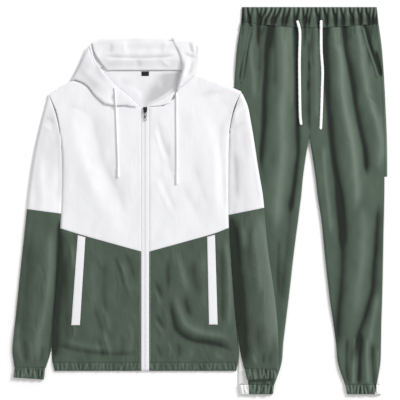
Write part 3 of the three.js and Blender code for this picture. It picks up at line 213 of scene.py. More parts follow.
# Troughs of the waistband from its top to its seam, and how deep each one is
BAND_TROUGHS = (
    (106, 104, 0.9), (116, 121, 1.1), (128, 121, 0.6), (139, 144, 0.7), (151, 143, 0.8), (164, 151, 1.1),
    (178, 162, 1.2), (186, 177, 0.7), (199, 184, 1.2), (208, 203, 0.7), (221, 211, 1.1), (229, 231, 0.6),
    (242, 235, 1.1), (251, 254, 0.8), (264, 258, 1.1), (273, 268, 0.7), (281, 288, 1.2), (294, 291, 0.7),
    (302, 308, 1.2), (315, 310, 0.7), (323, 330, 1.1), (336, 332, 0.7), (343, 349, 1.2), (356, 349, 0.7),
    (364, 372, 1.2), (377, 371, 0.7), (384, 391, 1.2), (397, 392, 0.8), (404, 411, 1.1), (416, 413, 0.7),
    (426, 422, 1.1), (433, 431, 0.7),
)
# Elastic edges: left and right end, lower and upper edge, number of gathers, their height and their seed
ANKLE_GATHERS = (
    (98, 180, -470, -452, 10, 3.8, 5),
    (359, 445, -470, -452, 10, 4.0, 8),
)
HEM_GATHERS = (
    (-352, -146, -415, -400, 22, 1.8, 11),
    (-122, 86, -415, -400, 22, 1.8, 12),
)
CUFF_GATHERS = {
    "l": (-456, -380, -436, -414, 10, 3.8, 21),
    "r": (114, 185, -436, -414, 10, 3.8, 22),
}
JACKET_CREASES = (
    (((-320, 225), (-306, 185), (-294, 124), (-270, 55), (-245, 1), (-222, -50)), 18, 2.4, 0.0),
    (((-270, 232), (-258, 185), (-248, 140), (-236, 90), (-216, 50), (-198, 13), (-176, -50)), 14, -2.4, 0.0),
    (((-335, 230), (-300, 225), (-268, 205)), 8, -1.0, 0.3),
    (((-344, 150), (-332, 60), (-334, -50)), 9, -1.2, 0.0),
    (((-112, 180), (-100, 130), (-86, 85)), 5, 1.3, 0.4),
    (((-104, 200), (-90, 140), (-72, 95)), 6, -1.8, 0.0),
    (((-80, 160), (-76, 100), (-62, 40)), 8, -1.6, 0.2),
    (((-112, 60), (-96, 20), (-72, -30)), 6, 1.0, 0.3),
    (((-100, 75), (-80, 20), (-55, -40)), 7, -1.2, 0.0),
    (((-55, 60), (-24, 0), (5, -60)), 11, -1.3, 0.0),
    (((-20, 110), (0, 40), (25, -30)), 9, -1.0, 0.0),
    (((-10, 250), (30, 262), (70, 262)), 8, -1.5, 0.2),
    (((10, 215), (34, 120), (40, 20), (30, -50)), 14, 1.6, 0.0),
    (((58, 215), (50, 150), (56, 60), (64, -40)), 9, -1.6, 0.2),
    # A deep trough along the body's left edge beside the sleeve: a dip, with painted shade in the gap
    (((-343, -60), (-348, -200), (-354, -300), (-358, -400)), 9, -5.0, 0.2),
    (((-328, -110), (-330, -200), (-326, -300), (-330, -390)), 12, -1.6, 0.0),
    (((-318, -100), (-313, -130), (-314, -180)), 6, 1.8, 0.3),
    (((-268, -130), (-262, -220), (-270, -300)), 12, 1.5, 0.0),
    (((-232, -140), (-236, -230), (-228, -300)), 8, -1.4, 0.3),
    (((-205, -140), (-190, -168), (-180, -207), (-164, -245)), 6, 1.7, 0.4),
    (((-212, -128), (-198, -170), (-186, -215)), 5, -1.6, 0.0),
    (((-188, -120), (-170, -160), (-158, -205)), 6, -1.5, 0.0),
    (((-246, -250), (-228, -290), (-222, -330)), 6, 1.5, 0.3),
    (((-262, -255), (-247, -300), (-240, -330)), 5, -1.5, 0.0),
    (((-238, -315), (-230, -344), (-217, -394)), 5, 1.9, 0.3),
    (((-252, -330), (-242, -360), (-236, -394)), 5, -1.6, 0.0),
    (((-200, -320), (-190, -352), (-196, -394)), 5, -1.2, 0.0),
    (((-354, -353), (-281, -371), (-197, -377), (-150, -372)), 6, -1.6, 0.2),
    (((-340, -340), (-281, -357), (-210, -362)), 7, 1.2, 0.0),
    (((-312, -300), (-308, -320), (-312, -345)), 4, 1.4, 0.2),
    (((-175, -290), (-168, -340), (-176, -390)), 6, 1.2, 0.0),
    (((-76, -230), (-68, -280), (-56, -318), (-22, -341), (23, -349), (53, -357), (86, -373)), 9, -3.6, 0.3),
    (((-62, -225), (-50, -275), (-32, -308), (8, -326), (50, -333), (78, -350)), 10, 2.6, 0.0),
    (((-36, -225), (-32, -262), (-18, -292)), 8, -2.4, 0.0),
    (((-77, -132), (-80, -180), (-78, -232)), 8, -2.2, 0.2),
    (((-58, -118), (-48, -170), (-34, -215), (-30, -240)), 9, 2.2, 0.2),
    (((-26, -130), (-14, -190), (0, -250)), 11, -1.8, 0.0),
    (((2, -120), (8, -200), (10, -280)), 9, 1.0, 0.0),
    (((52, -105), (54, -200), (54, -310)), 6, -1.8, 0.0),
    (((60, -85), (71, -195), (70, -320)), 8, 2.4, 0.0),
    (((-113, -195), (-100, -222), (-90, -250)), 5, -1.9, 0.3),
    (((-114, -215), (-103, -240), (-96, -262)), 4, 1.5, 0.0),
    (((-114, -275), (-98, -298), (-84, -325)), 5, -1.8, 0.3),
    (((-114, -292), (-102, -312), (-92, -332)), 4, 1.4, 0.0),
    (((-112, -348), (-100, -372), (-92, -394)), 5, -1.5, 0.3),
    (((-62, -345), (-52, -365), (-58, -394)), 6, -1.6, 0.0),
    (((-84, -340), (-74, -362), (-78, -392)), 4, 1.3, 0.0),
    (((-30, -360), (-22, -376), (-26, -394)), 5, 1.1, 0.0),
    (((30, -366), (40, -380), (60, -390)), 6, 1.1, 0.0),
)
SLEEVE_CREASES = (
    (((-366, 290), (-384, 150), (-394, 60), (-400, -10)), 28, -2.2, 0.0),
    (((-381, 207), (-370, 197), (-354, 184)), 5, -1.9, 0.3),
    (((-384, 192), (-374, 180), (-362, 172)), 5, 1.4, 0.0),
    # A trough along the left sleeve's inner edge: a dip, with painted shade where it runs under the body
    (((-352, 190), (-346, 120), (-344, 40), (-348, -25)), 11, -2.6, 0.0),
    (((-372, 230), (-362, 190), (-358, 150)), 6, -1.2, 0.2),
    (((-392, 130), (-386, 40), (-384, -20)), 9, 1.2, 0.0),
    (((-404, 60), (-402, 0), (-410, -40)), 8, -0.9, 0.0),
    # Deep troughs along both sleeves' inner edges beside the body: a dip, with painted shade in the gap
    (((-344, -40), (-350, -180), (-358, -290), (-366, -400)), 6, -5.0, 0.3),
    (((76, -30), (81, -180), (88, -290), (98, -400)), 6, -5.0, 0.0),
    (((-367, -60), (-370, -190), (-382, -268), (-397, -342), (-399, -400)), 10, 2.3, 0.0),
    (((-412, -70), (-422, -170), (-430, -300), (-432, -360)), 14, -1.3, 0.0),
    (((-442, -290), (-450, -340), (-450, -390)), 6, 1.2, 0.0),
    (((-446, -335), (-444, -370), (-436, -402)), 4, 1.7, 0.3),
    (((-430, -330), (-428, -372), (-426, -404)), 5, -1.7, 0.0),
    (((-386, -350), (-388, -380), (-394, -404)), 4, -1.8, 0.2),
    (((-413, -340), (-412, -380), (-414, -404)), 5, 1.2, 0.0),
    (((75, 212), (92, 236), (106, 252)), 5, -1.9, 0.3),
    (((70, 190), (90, 214), (112, 228)), 5, 1.5, 0.0),
    (((74, 165), (94, 182), (116, 192)), 6, -1.2, 0.2),
    (((82, 130), (88, 60), (90, -12)), 8, -3.0, 0.0),
    (((100, 150), (112, 70), (120, -10)), 10, 1.8, 0.0),
    (((128, 130), (134, 60), (142, -12)), 7, -0.9, 0.0),
    (((100, -55), (104, -90), (106, -130)), 9, 2.0, 0.0),
    (((123, -50), (120, -110), (118, -170)), 7, -1.4, 0.0),
    (((88, -40), (92, -150), (99, -219), (105, -290), (108, -350), (110, -420)), 12, -4.2, 0.0),
    (((136, 0), (150, -80), (160, -140), (168, -205), (174, -280), (180, -380)), 19, 4.8, 0.0),
    (((128, -60), (138, -150), (146, -240)), 8, 1.8, 0.0),
    (((160, -270), (166, -330), (168, -385)), 8, 1.2, 0.0),
    (((138, -290), (142, -340), (146, -390)), 8, -1.4, 0.0),
    (((128, -370), (132, -390), (138, -406)), 4, 1.8, 0.0),
    (((156, -365), (154, -385), (154, -406)), 4, -1.8, 0.0),
    (((172, -370), (170, -388), (168, -406)), 4, -1.4, 0.0),
)
HOOD_CREASES = (
    (((-236, 352), (-170, 349), (-100, 350), (-60, 354)), 4, -1.5, 0.3),
    (((-222, 388), (-218, 372), (-226, 356)), 6, -1.2, 0.2),
    (((-180, 392), (-186, 374), (-178, 358)), 6, 0.9, 0.0),
    (((-90, 396), (-84, 378), (-92, 360)), 6, 1.0, 0.0),
    (((-160, 345), (-150, 334), (-160, 324)), 6, -1.0, 0.0),
    (((-96, 344), (-84, 334), (-70, 330)), 5, 1.0, 0.2),
    (((-28, 391), (-24, 372), (-18, 356)), 3, -1.4, 0.2),
    (((-17, 389), (-15, 372), (-12, 358)), 3, 1.2, 0.0),
    (((-8, 384), (-8, 366), (-10, 352)), 3, -1.2, 0.2),
    (((-45, 362), (-25, 352), (-6, 350)), 4, -1.3, 0.0),
    (((-30, 350), (-34, 322), (-48, 288)), 5, 1.6, 0.2),
    (((-18, 345), (-24, 318), (-36, 298)), 4, -1.4, 0.0),
    (((-292, 370), (-290, 320), (-262, 282), (-225, 250)), 30, -1.4, 0.0),
    (((-292, 330), (-268, 305), (-240, 282)), 10, 0.7, 0.0),
    (((-262, 340), (-246, 310), (-226, 280)), 8, -0.8, 0.0),
    (((-212, 262), (-216, 248), (-214, 238)), 5, -1.2, 0.2),
)
# Creases on the back's inside at the neck. The back can't sink, so their troughs are painted shade only; the
# first two paint the shadow under the hood's right side.
NECK_CREASES = (
    (((-16, 400), (-44, 340), (-64, 302), (-86, 270), (-116, 232), (-160, 180)), 19, -5.6, 0.1),
    (((-60, 400), (-84, 320), (-104, 285), (-128, 250), (-150, 200)), 18, -2.4, 0.0),
    (((-205, 302), (-180, 290), (-150, 292)), 8, -0.9, 0.2),
    (((-170, 275), (-150, 262), (-140, 245)), 7, 0.9, 0.0),
    (((-110, 300), (-96, 280), (-90, 258)), 7, 1.0, 0.3),
)

# Which solids lie over others, so that no crease lifts into them
OVER_TROUSERS = ("jacket_front_upper_r", "sleeve_upper_r", "sleeve_lower_r", "jacket_cuff_r")
OVER_JACKET = ("hood_side_l", "hood_rim_l", "hood_corner_r", "hood_side_r")
OVER_BACK = OVER_JACKET + ("hood_centre", "hood_crown_fold", "jacket_front_upper_l", "jacket_front_upper_r")


def settings():
    """The property groups, read from the scene."""
    scene = bpy.context.scene
    return scene.tracksuit_cloth, scene.tracksuit_zip, scene.tracksuit_colours


# Plan geometry, in millimetres

def smooth(low, high, value):
    """An even rise from 0 at low to 1 at high."""
    share = np.clip((value - low) / (high - low), 0, 1)
    return share * share * (3 - 2 * share)


def rounded_line(points, steps):
    """A smooth line through points, with so many steps between each two."""
    points = np.asarray(points, float)
    if len(points) < 3:
        share = np.linspace(0, 1, steps + 1)[:, None]
        return points[0] * (1 - share) + points[-1] * share
    padded = np.vstack([2 * points[0] - points[1], points, 2 * points[-1] - points[-2]])
    rows = []
    for i in range(len(points) - 1):
        a, b, c, d = padded[i:i + 4]
        t = np.linspace(0, 1, steps, endpoint=False)[:, None]
        square, cube = 2 * a - 5 * b + 4 * c - d, 3 * b - a - 3 * c + d
        rows.append(0.5 * (2 * b + (c - a) * t + square * t ** 2 + cube * t ** 3))
    return np.vstack([*rows, points[-1:]])


def beside(points, line):
    """Each point's signed distance to an open line (left is positive) and its share of the line's length."""
    start, step = line[:-1], np.diff(line, axis=0)
    long = np.linalg.norm(step, axis=1)
    run = np.concatenate([[0], np.cumsum(long)])
    away = points[:, None] - start
    along = np.clip((away * step).sum(2) / long ** 2, 0, 1)
    gap = np.linalg.norm(away - along[..., None] * step, axis=2)
    best = gap.argmin(1)
    rows = np.arange(len(points))
    side = np.sign(step[best, 0] * away[rows, best, 1] - step[best, 1] * away[rows, best, 0])
    return gap[rows, best] * side, (run[best] + along[rows, best] * long[best]) / run[-1]


def crease_lift(points, creases):
    """The height that creases add at points of the plan."""
    lift = np.zeros(len(points))
    for path, wide, high, lean in creases:
        line = rounded_line(path, 6)
        reach = 3 * wide
        near = np.flatnonzero(((points > line.min(0) - reach) & (points < line.max(0) + reach)).all(1))
        if not len(near):
            continue
        offset, share = beside(points[near], line)
        end = min(0.4, ENDS * wide / np.linalg.norm(np.diff(line, axis=0), axis=1).sum())
        taper = smooth(0, end, share) * (1 - smooth(1 - end, 1, share))
        half = wide * (0.65 + 0.35 * taper) * (1 + lean * np.sign(offset))
        lift[near] += high * taper * np.exp(-np.abs(offset / half) ** (1.4 if high < 0 else 1.8))
    return lift


def rumple(points):
    """Faint uneven swells of cloth that was folded, stretched along the garment's length."""
    draw = random.Random(41)
    lift = np.zeros(len(points))
    for _ in range(14):
        heading = draw.gauss(0, 0.55)
        across = points[:, 0] * math.cos(heading) + points[:, 1] * math.sin(heading)
        long = draw.uniform(26, 90)
        lift += 0.0016 * long * np.sin(2 * math.pi * across / long + draw.uniform(0, 6.28))
    return lift


def nearest_on(border, points):
    """For each point: its distance to a closed border, the nearest place there, and that place's index."""
    step = np.roll(border, -1, 0) - border
    square = np.maximum((step ** 2).sum(1), 1e-9)
    distance, foot, index = np.empty(len(points)), np.empty((len(points), 2)), np.empty(len(points), int)
    for block in np.array_split(np.arange(len(points)), len(points) // 1500 + 1):
        away = points[block, None] - border
        share = np.clip((away * step).sum(2) / square, 0, 1)
        feet = border + share[..., None] * step
        gap = np.linalg.norm(points[block, None] - feet, axis=2)
        best = gap.argmin(1)
        rows = np.arange(len(block))
        distance[block] = gap[rows, best]
        foot[block] = feet[rows, best]
        index[block] = np.where(share[rows, best] < 0.5, best, (best + 1) % len(border))
    return distance, foot, index


def around(faces):
    """The three sides of each triangle, in its own direction."""
    return np.vstack([faces[:, [0, 1]], faces[:, [1, 2]], faces[:, [2, 0]]])


def area_round(border):
    """Twice the signed area that a closed border goes round, positive where it runs to the left."""
    ahead = np.roll(border, -1, 0)
    return (border[:, 0] * ahead[:, 1] - ahead[:, 0] * border[:, 1]).sum()


def inward_of(border):
    """The direction into a closed border at each of its points."""
    step = np.roll(border, -1, 0) - np.roll(border, 1, 0)
    inward = np.column_stack([-step[:, 1], step[:, 0]]) / np.linalg.norm(step, axis=1)[:, None]
    return inward * math.copysign(1, area_round(border))


def inside(border, points):
    """Which points lie inside a closed border."""
    a, b = border, np.roll(border, -1, 0)
    found = np.zeros(len(points), bool)
    for block in np.array_split(np.arange(len(points)), len(points) // 1500 + 1):
        x, y = points[block, 0, None], points[block, 1, None]
        crosses = (a[:, 1] > y) != (b[:, 1] > y)
        rise = np.where(b[:, 1] == a[:, 1], 1, b[:, 1] - a[:, 1])
        found[block] = (crosses & (x < a[:, 0] + (y - a[:, 1]) / rise * (b[:, 0] - a[:, 0]))).sum(1) % 2 == 1
    return found


# Solids of the frame, in millimetres

class Solid:
    """A node's welded mesh, its search tree and the outline of its upper face."""

    def __init__(self, node):
        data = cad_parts[node].data
        data.calc_loop_triangles()
        points = np.empty(len(data.vertices) * 3, np.float32)
        data.vertices.foreach_get("co", points)
        corners = np.empty(len(data.loop_triangles) * 3, np.int32)
        data.loop_triangles.foreach_get("vertices", corners)
        points = points.reshape(-1, 3).astype(float) / MM
        _, first, back = np.unique(np.round(points, 3), axis=0, return_index=True, return_inverse=True)
        self.points = points[first]
        self.faces = back.ravel()[corners.reshape(-1, 3)]
        self.tree = BVHTree.FromPolygons(self.points.tolist(), self.faces.tolist())
        self.outline = self.upper_outline()

    def upper_outline(self):
        """The outline of the largest patch of faces that look up, in order, with its levels."""
        a, b, c = (self.points[self.faces[:, i]] for i in range(3))
        normal = np.cross(b - a, c - a)
        size = np.linalg.norm(normal, axis=1)
        up = np.flatnonzero(normal[:, 2] > 0.04 * size)
        beside_edge = {}
        for f in up:
            for i in range(3):
                beside_edge[(self.faces[f][i], self.faces[f][i - 2])] = f
        patch = {}
        for f in up:
            if f in patch:
                continue
            patch[f] = f
            queue = [f]
            while queue:
                g = queue.pop()
                for i in range(3):
                    other = beside_edge.get((self.faces[g][i - 2], self.faces[g][i]))
                    if other is not None and other not in patch:
                        patch[other] = f
                        queue.append(other)
        area = {}
        for f, first in patch.items():
            area[first] = area.get(first, 0) + size[f]
        widest = max(area, key=area.get)
        following = {}
        for (p, q), f in beside_edge.items():
            if patch[f] == widest and (q, p) not in beside_edge:
                following[p] = q
        loops, left = [], dict(following)
        while left:
            start, nxt = left.popitem()
            loop = [start]
            while nxt != start and nxt in left:
                loop.append(nxt)
                nxt = left.pop(nxt)
            loops.append(loop)
        return self.points[max(loops, key=len)]


SOLIDS = {}


def solid(node):
    """A node's Solid, read once."""
    if node not in SOLIDS:
        SOLIDS[node] = Solid(node)
    return SOLIDS[node]


def levels(tree, points, way=-1):
    """The first level that a ray meets at each point, from above or (way 1) from below; nan where none."""
    found = np.full(len(points), np.nan)
    start, ray = -1000 * way, Vector((0, 0, way))
    for i, (x, y) in enumerate(points):
        hit = tree.ray_cast(Vector((x, y, start)), ray)[0]
        if hit is not None:
            found[i] = hit.z
    return found


def fine_outline(outline, cell):
    """The outline with its corners kept and its curves sampled finely."""
    kept = [outline[0]]
    for point in outline[1:]:
        if np.linalg.norm(point[:2] - kept[-1][:2]) > 0.25:
            kept.append(point)
    outline = np.array(kept)
    before = outline - np.roll(outline, 1, 0)
    after = np.roll(outline, -1, 0) - outline
    turn = np.arctan2(
        before[:, 0] * after[:, 1] - before[:, 1] * after[:, 0],
        (before[:, :2] * after[:, :2]).sum(1))
    corners = np.flatnonzero(np.abs(turn) > math.radians(27))
    if len(corners) == 0:
        corners = np.array([0])
    rows = []
    for i, corner in enumerate(corners):
        end = corners[(i + 1) % len(corners)]
        count = (end - corner) % len(outline) or len(outline)
        stretch = outline[(corner + np.arange(count + 1)) % len(outline)]
        line = rounded_line(stretch, 12) if count > 1 else stretch
        run = np.concatenate([[0], np.cumsum(np.linalg.norm(np.diff(line[:, :2], axis=0), axis=1))])
        steps = max(1, round(run[-1] / cell))
        at = np.linspace(0, run[-1], steps + 1)[:-1]
        rows.append(np.column_stack([np.interp(at, run, line[:, k]) for k in range(3)]))
    return np.vstack(rows)


def plan_mesh(border, cell, insets=(0.9, 2.2, 4.0)):
    """Points and triangles that fill a border, closer together beside it."""
    inward = inward_of(border)
    rings = [border + inward * inset for inset in insets]
    low, high = border.min(0), border.max(0)
    rise = cell * math.sqrt(3) / 2
    grid = [
        (low[0] + cell * (i + 0.5 * (j % 2)), low[1] + rise * j)
        for j in range(int((high[1] - low[1]) / rise) + 1)
        for i in range(int((high[0] - low[0]) / cell) + 1)
    ]
    chosen = [border]
    for inset, ring in [*zip(insets, rings), (insets[-1] + 0.55 * cell, np.array(grid).reshape(-1, 2))]:
        if not len(ring):
            continue
        ring = ring[inside(border, ring)]
        if len(ring):
            chosen.append(ring[nearest_on(border, ring)[0] > 0.93 * inset])
    points = np.vstack(chosen)
    made = delaunay_2d_cdt([Vector(p) for p in points], [], [list(range(len(border)))], 1, 1e-5)
    return np.array([tuple(v) for v in made[0]]), np.array([f for f in made[2] if len(f) == 3])


def edges_of(faces):
    """The edges of a mesh, each once."""
    return np.unique(np.sort(around(faces), axis=1), axis=0)


def evened(values, edges, rounds):
    """Values at points, each drawn towards the mean of its neighbours."""
    count = np.maximum(np.bincount(edges.ravel(), minlength=len(values)), 1)
    for _ in range(rounds):
        total = np.bincount(edges[:, 0], values[edges[:, 1]], len(values))
        total += np.bincount(edges[:, 1], values[edges[:, 0]], len(values))
        values = 0.5 * values + 0.5 * total / count
    return values


def round_off(share):
    """The height of a quarter round at a share of its width."""
    return np.sqrt(1 - (1 - np.clip(share, 0, 1)) ** 2)


def clear_of(nodes, points, reach=14):
    """0 under the nodes, rising to 1 that far beside them."""
    free = np.ones(len(points))
    for node in nodes:
        border = fine_outline(solid(node).outline, 6)[:, :2]
        near = np.flatnonzero(((points > border.min(0) - reach) & (points < border.max(0) + reach)).all(1))
        if len(near):
            distance = nearest_on(border, points[near])[0]
            distance[inside(border, points[near])] = 0
            free[near] = np.minimum(free[near], smooth(0, reach, distance))
    return free


class Drape:
    """The upper skin of a piece: its points in the plan, triangles, levels and where its border is folded."""

    def __init__(self, node, cell, rounds, edge, over=(), creases=(), folds=1.0, seam=0.7, tubular=False,
                 spread=0.0, deep=DEEP_FOLD):
        shape = solid(node)
        border = fine_outline(shape.outline, cell * 0.85)
        self.plan, self.faces = plan_mesh(border[:, :2], cell)
        self.edges = edges_of(self.faces)
        self.distance, foot, index = nearest_on(border[:, :2], self.plan)
        away = self.plan - foot
        away /= np.maximum(np.linalg.norm(away, axis=1), 1e-6)[:, None]
        at_rim = self.distance < ON_RIM
        away[at_rim] = inward_of(border[:, :2])[index[at_rim]]
        pulled = foot + away * np.maximum(self.distance, edge)[:, None]
        direct = foot + away * np.maximum(self.distance, 0.3)[:, None]
        edge_level = border[index, 2]
        open_level = np.where(np.isnan(high := levels(shape.tree, pulled)), edge_level, high)
        near_level = np.where(np.isnan(high := levels(shape.tree, direct)), edge_level, high)
        self.folded = smooth(0.9, 1.8, open_level - edge_level)
        inner = evened(near_level * (1 - self.folded) + open_level * self.folded, self.edges, rounds)
        free = clear_of(over, self.plan)
        lift = 0.0
        if creases:
            lift = crease_lift(self.plan, creases) * folds + rumple(self.plan) * min(folds, MOST_RUMPLE)
            lift *= free
        self.below = np.full(len(self.plan), BACK_LEVEL)
        if tubular:
            below = levels(shape.tree, pulled, way=1)
            self.below = evened(np.where(np.isnan(below), 0.1, below), self.edges, 3)
        # How deep in a fold each point lies, before the cloth is kept from sinking: it paints shade in the
        # troughs and a highlight on the ridges, also where the cloth stays flat
        self.hollows = np.broadcast_to(np.clip(lift / deep, -1, 1), len(self.plan))
        lift = np.maximum(lift, -MOST_SUNK * np.maximum(inner - self.below, 0))
        rounding = round_off(self.distance / edge)
        valley = seam * np.exp(-((self.distance / SEAM_WIDTH) ** 2)) * (1 - self.folded)
        raised = inner + lift - valley
        rolled = edge_level + (raised - edge_level) * (1 - self.folded + self.folded * rounding)
        self.level = np.where(self.folded > 0, rolled, raised)
        self.edge_level = edge_level
        folded_rim = at_rim & (self.folded > 0.5)
        self.plan[folded_rim] -= away[folded_rim] * spread

    def skin(self):
        return np.column_stack([self.plan, self.level]), upward(self.plan, self.faces)


def upward(plan, faces):
    """The faces, turned so that each looks up."""
    a, b, c = (plan[faces[:, i]] for i in range(3))
    down = (b - a)[:, 0] * (c - a)[:, 1] - (b - a)[:, 1] * (c - a)[:, 0] < 0
    faces = faces.copy()
    faces[down] = faces[down][:, ::-1]
    return faces


def normals_at(points, faces):
    """The mean direction that the skin looks in at each point."""
    a, b, c = (points[faces[:, i]] for i in range(3))
    normal = np.cross(b - a, c - a)
    total = np.zeros_like(points)
    for i in range(3):
        np.add.at(total, faces[:, i], normal)
    return total / np.maximum(np.linalg.norm(total, axis=1), 1e-9)[:, None]


def walled(points, faces, wall, lowest=0.2):
    """Closes a skin into a wall, with its other side that far behind and no lower than the level given."""
    behind = points - normals_at(points, faces) * wall
    behind[:, 2] = np.maximum(behind[:, 2], np.minimum(lowest, points[:, 2] - 0.15))
    seen = set(map(tuple, around(faces).tolist()))
    rim = np.array([(a, b) for a, b in seen if (b, a) not in seen], int).reshape(-1, 2)
    count = len(points)
    sides = np.vstack([
        np.column_stack([rim[:, 1], rim[:, 0], rim[:, 0] + count]),
        np.column_stack([rim[:, 1], rim[:, 0] + count, rim[:, 1] + count]),
    ])
    return np.vstack([points, behind]), np.vstack([faces, faces[:, ::-1] + count, sides])


# Pieces

BUILT = {}


def add_piece(name, points, faces, material, slot, body=BODY, sharp=55, replaces=(), hollows=None):
    """A shaded mesh object from points in millimetres, with how deep in a fold each point lies."""
    mesh = bpy.data.meshes.new(name)
    mesh.from_pydata((np.asarray(points) * MM).tolist(), [], [tuple(map(int, face)) for face in faces])
    mesh.update()
    mesh.shade_smooth()
    if sharp:
        mesh.set_sharp_from_angle(angle=math.radians(sharp))
    mesh.materials.append(material)
    if hollows is not None:
        mesh.attributes.new("hollow", "FLOAT", "POINT").data.foreach_set("value", hollows.astype(np.float32))
    piece = bpy.data.objects.new(name, mesh)
    bpy.context.scene.collection.objects.link(piece)
    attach(piece, body)
    if replaces:
        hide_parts(*replaces)
    return piece


def lay_down(name, points, faces):
    """Remembers a piece's surface, so that what is sewn or laid on it finds it."""
    low, high = points.min(0)[:2], points.max(0)[:2]
    BUILT[name] = (BVHTree.FromPolygons(points.tolist(), faces.tolist()), low, high)


def surface(points, names=None, missing=0.0):
    """The top level of the named finished pieces, or of all, at points of the plan."""
    best = np.full(len(points), -1e3)
    for name in names or BUILT:
        tree, low, high = BUILT[name]
        near = np.flatnonzero(((points >= low) & (points <= high)).all(1))
        if len(near):
            best[near] = np.fmax(best[near], levels(tree, points[near]))
    return np.where(best < -100, missing, best)


def cut_size(node, layers, held):
    """The narrow and the long side of the smallest rectangle that a piece is cut from.

    A sleeve goes round its arm with the narrow side, and a gathered cuff with the long one.
    """
    best = None
    for angle in range(0, 90, 3):
        turn = math.radians(angle)
        turned = solid(node).outline[:, :2] @ np.array([
            (math.cos(turn), -math.sin(turn)), (math.sin(turn), math.cos(turn))])
        size = turned.max(0) - turned.min(0)
        if best is None or size.prod() < best.prod():
            best = size
    best = np.sort(best)
    best[1 if held == "gathered" else 0] *= layers
    return np.maximum(best, NARROWEST_CUT)


def cloth(node, material, slot, held="laid", rests_on=(), cell=None, rounds=12, **options):
    """A cut piece of cloth on its solid's form."""
    sizes, _, _ = settings()
    cell = cell or sizes.cell / MM
    drape = Drape(node, cell, rounds, sizes.edge / MM, seam=sizes.seam / MM, **options)
    points, faces = walled(*drape.skin(), sizes.wall / MM)
    hollows = np.tile(drape.hollows, 2)
    piece = add_piece(f"{node}_cloth", points, faces, material, slot, replaces=[node], hollows=hollows)
    lay_down(node, points, faces)
    declare(piece, node, 1, held)
    return piece


def declare(piece, node, layers, held):
    """Works out the sheet of a piece's flat cut, whose area is that of the modelled cloth; the result is not
    used.

    What the folds take up makes a gathered piece longer and any other one wider.
    """
    width, length = cut_size(node, layers, held) * MM
    area = sum(face.area for face in piece.data.polygons) / 2
    if held == "gathered":
        length = max(length, area / width)
    width = max(width, area / length)


def tube(node, material, slot, held="laid", rests_on=(), cell=None, rounds=12, **options):
    """A flattened tube of cloth: an upper and a lower skin that meet at its folded sides."""
    sizes, _, _ = settings()
    cell = cell or sizes.cell / MM
    edge = sizes.edge / MM
    drape = Drape(node, cell, rounds, edge, seam=sizes.seam / MM, tubular=True, **options)
    upper, faces = drape.skin()
    below = drape.below
    rolled = round_off(drape.distance / SIDE_ROLL)
    lower_level = np.where(drape.folded > 0.5, drape.edge_level + (below - drape.edge_level) * rolled, below)
    lower = np.column_stack([drape.plan, np.minimum(lower_level, upper[:, 2] - 0.4)])
    count = len(upper)
    joined = np.arange(count) + count
    at_side = (drape.distance < ON_RIM) & (drape.folded > 0.5)
    joined[at_side] = np.flatnonzero(at_side)
    both = np.vstack([faces, joined[faces[:, ::-1]]])
    points, faces = walled(np.vstack([upper, lower]), both, sizes.wall / MM)
    used = np.unique(faces)
    renumber = np.zeros(len(points), int)
    renumber[used] = np.arange(len(used))
    points, faces = points[used], renumber[faces]
    hollows = np.tile(np.concatenate([drape.hollows, np.zeros(count)]), 2)[used]
    piece = add_piece(f"{node}_cloth", points, faces, material, slot, replaces=[node], hollows=hollows)
    lay_down(node, points, faces)
    declare(piece, node, 2, held)
    return piece


def laid_strip(node, material, slot, on, thick, cell=3, lift=0.35, crown=0.3):
    """A narrow piece sewn on finished cloth, following the cloth under it."""
    border = fine_outline(solid(node).outline, cell * 0.85)[:, :2]
    plan, faces = plan_mesh(border, cell, insets=(0.5, 1.4))
    distance = nearest_on(border, plan)[0]
    base = surface(plan, on, missing=np.nan)
    base = np.where(np.isnan(base), np.nanmean(base), base)
    base = np.maximum(base, evened(base, edges_of(faces), 6))
    level = base + lift + thick * (0.45 + 0.55 * round_off(distance / 1.4)) + crown * smooth(0, 6, distance)
    points, faces = walled(np.column_stack([plan, level]), upward(plan, faces), thick * 0.8)
    piece = add_piece(f"{node}_cloth", points, faces, material, slot, replaces=[node])
    lay_down(node, points, faces)
    declare(piece, node, 1, "laid")
    return piece


# Gathers

def band_rows(height):
    """Creases of the waistband: a trough at each gather, with a puff beside it."""
    rows = []
    for i, (top, foot, deep) in enumerate(BAND_TROUGHS):
        path = ((top, 482), ((2 * top + foot) / 3, 462), (foot, 446), (foot + 0.3 * (foot - top), 424))
        rows.append((path, 2.8, -height * deep, 0.25 * (-1) ** i))
        slant = foot - top
        below = ((foot, 470), (foot + 0.4 * slant, 425), (foot + 0.9 * slant, 396 - 14 * (i % 3)))
        rows.append((below, 3.6, -0.42 * height * deep, 0.2 * (-1) ** i))
        if i + 1 < len(BAND_TROUGHS):
            top_between = (top + BAND_TROUGHS[i + 1][0]) / 2
            foot_between = (foot + BAND_TROUGHS[i + 1][1]) / 2
            puff = ((top_between, 480), ((top_between + foot_between) / 2, 458), (foot_between, 440))
            rows.append((puff, 3.6, height * 0.8 * deep, 0.0))
    return tuple(rows)


def gather_rows(left, right, low, high, count, height, seed, spread=0.35, wide=3.0, slant=4.0):
    """Creases of an elastic edge: short folds that cross it, unevenly spaced, long and high."""
    draw = random.Random(seed)
    rows = []
    pitch = (right - left) / count
    for i in range(count):
        x = left + pitch * (i + 0.5 + draw.uniform(-spread, spread))
        lean = draw.uniform(-slant, slant)
        tall = height * draw.uniform(0.55, 1.1)
        top, bottom = high + draw.uniform(2, 8), low - draw.uniform(0, 16)
        path = ((x - lean, top), (x, (low + high) / 2), (x + lean * 1.6, bottom))
        rows.append((path, wide * draw.uniform(0.8, 1.25), tall, draw.uniform(-0.3, 0.3)))
        next_x = x + pitch / 2
        deep = ((next_x - lean, top), (next_x, (low + high) / 2), (next_x + lean, bottom))
        rows.append((deep, wide * 0.75, -tall * 0.8, 0.0))
    return tuple(rows)


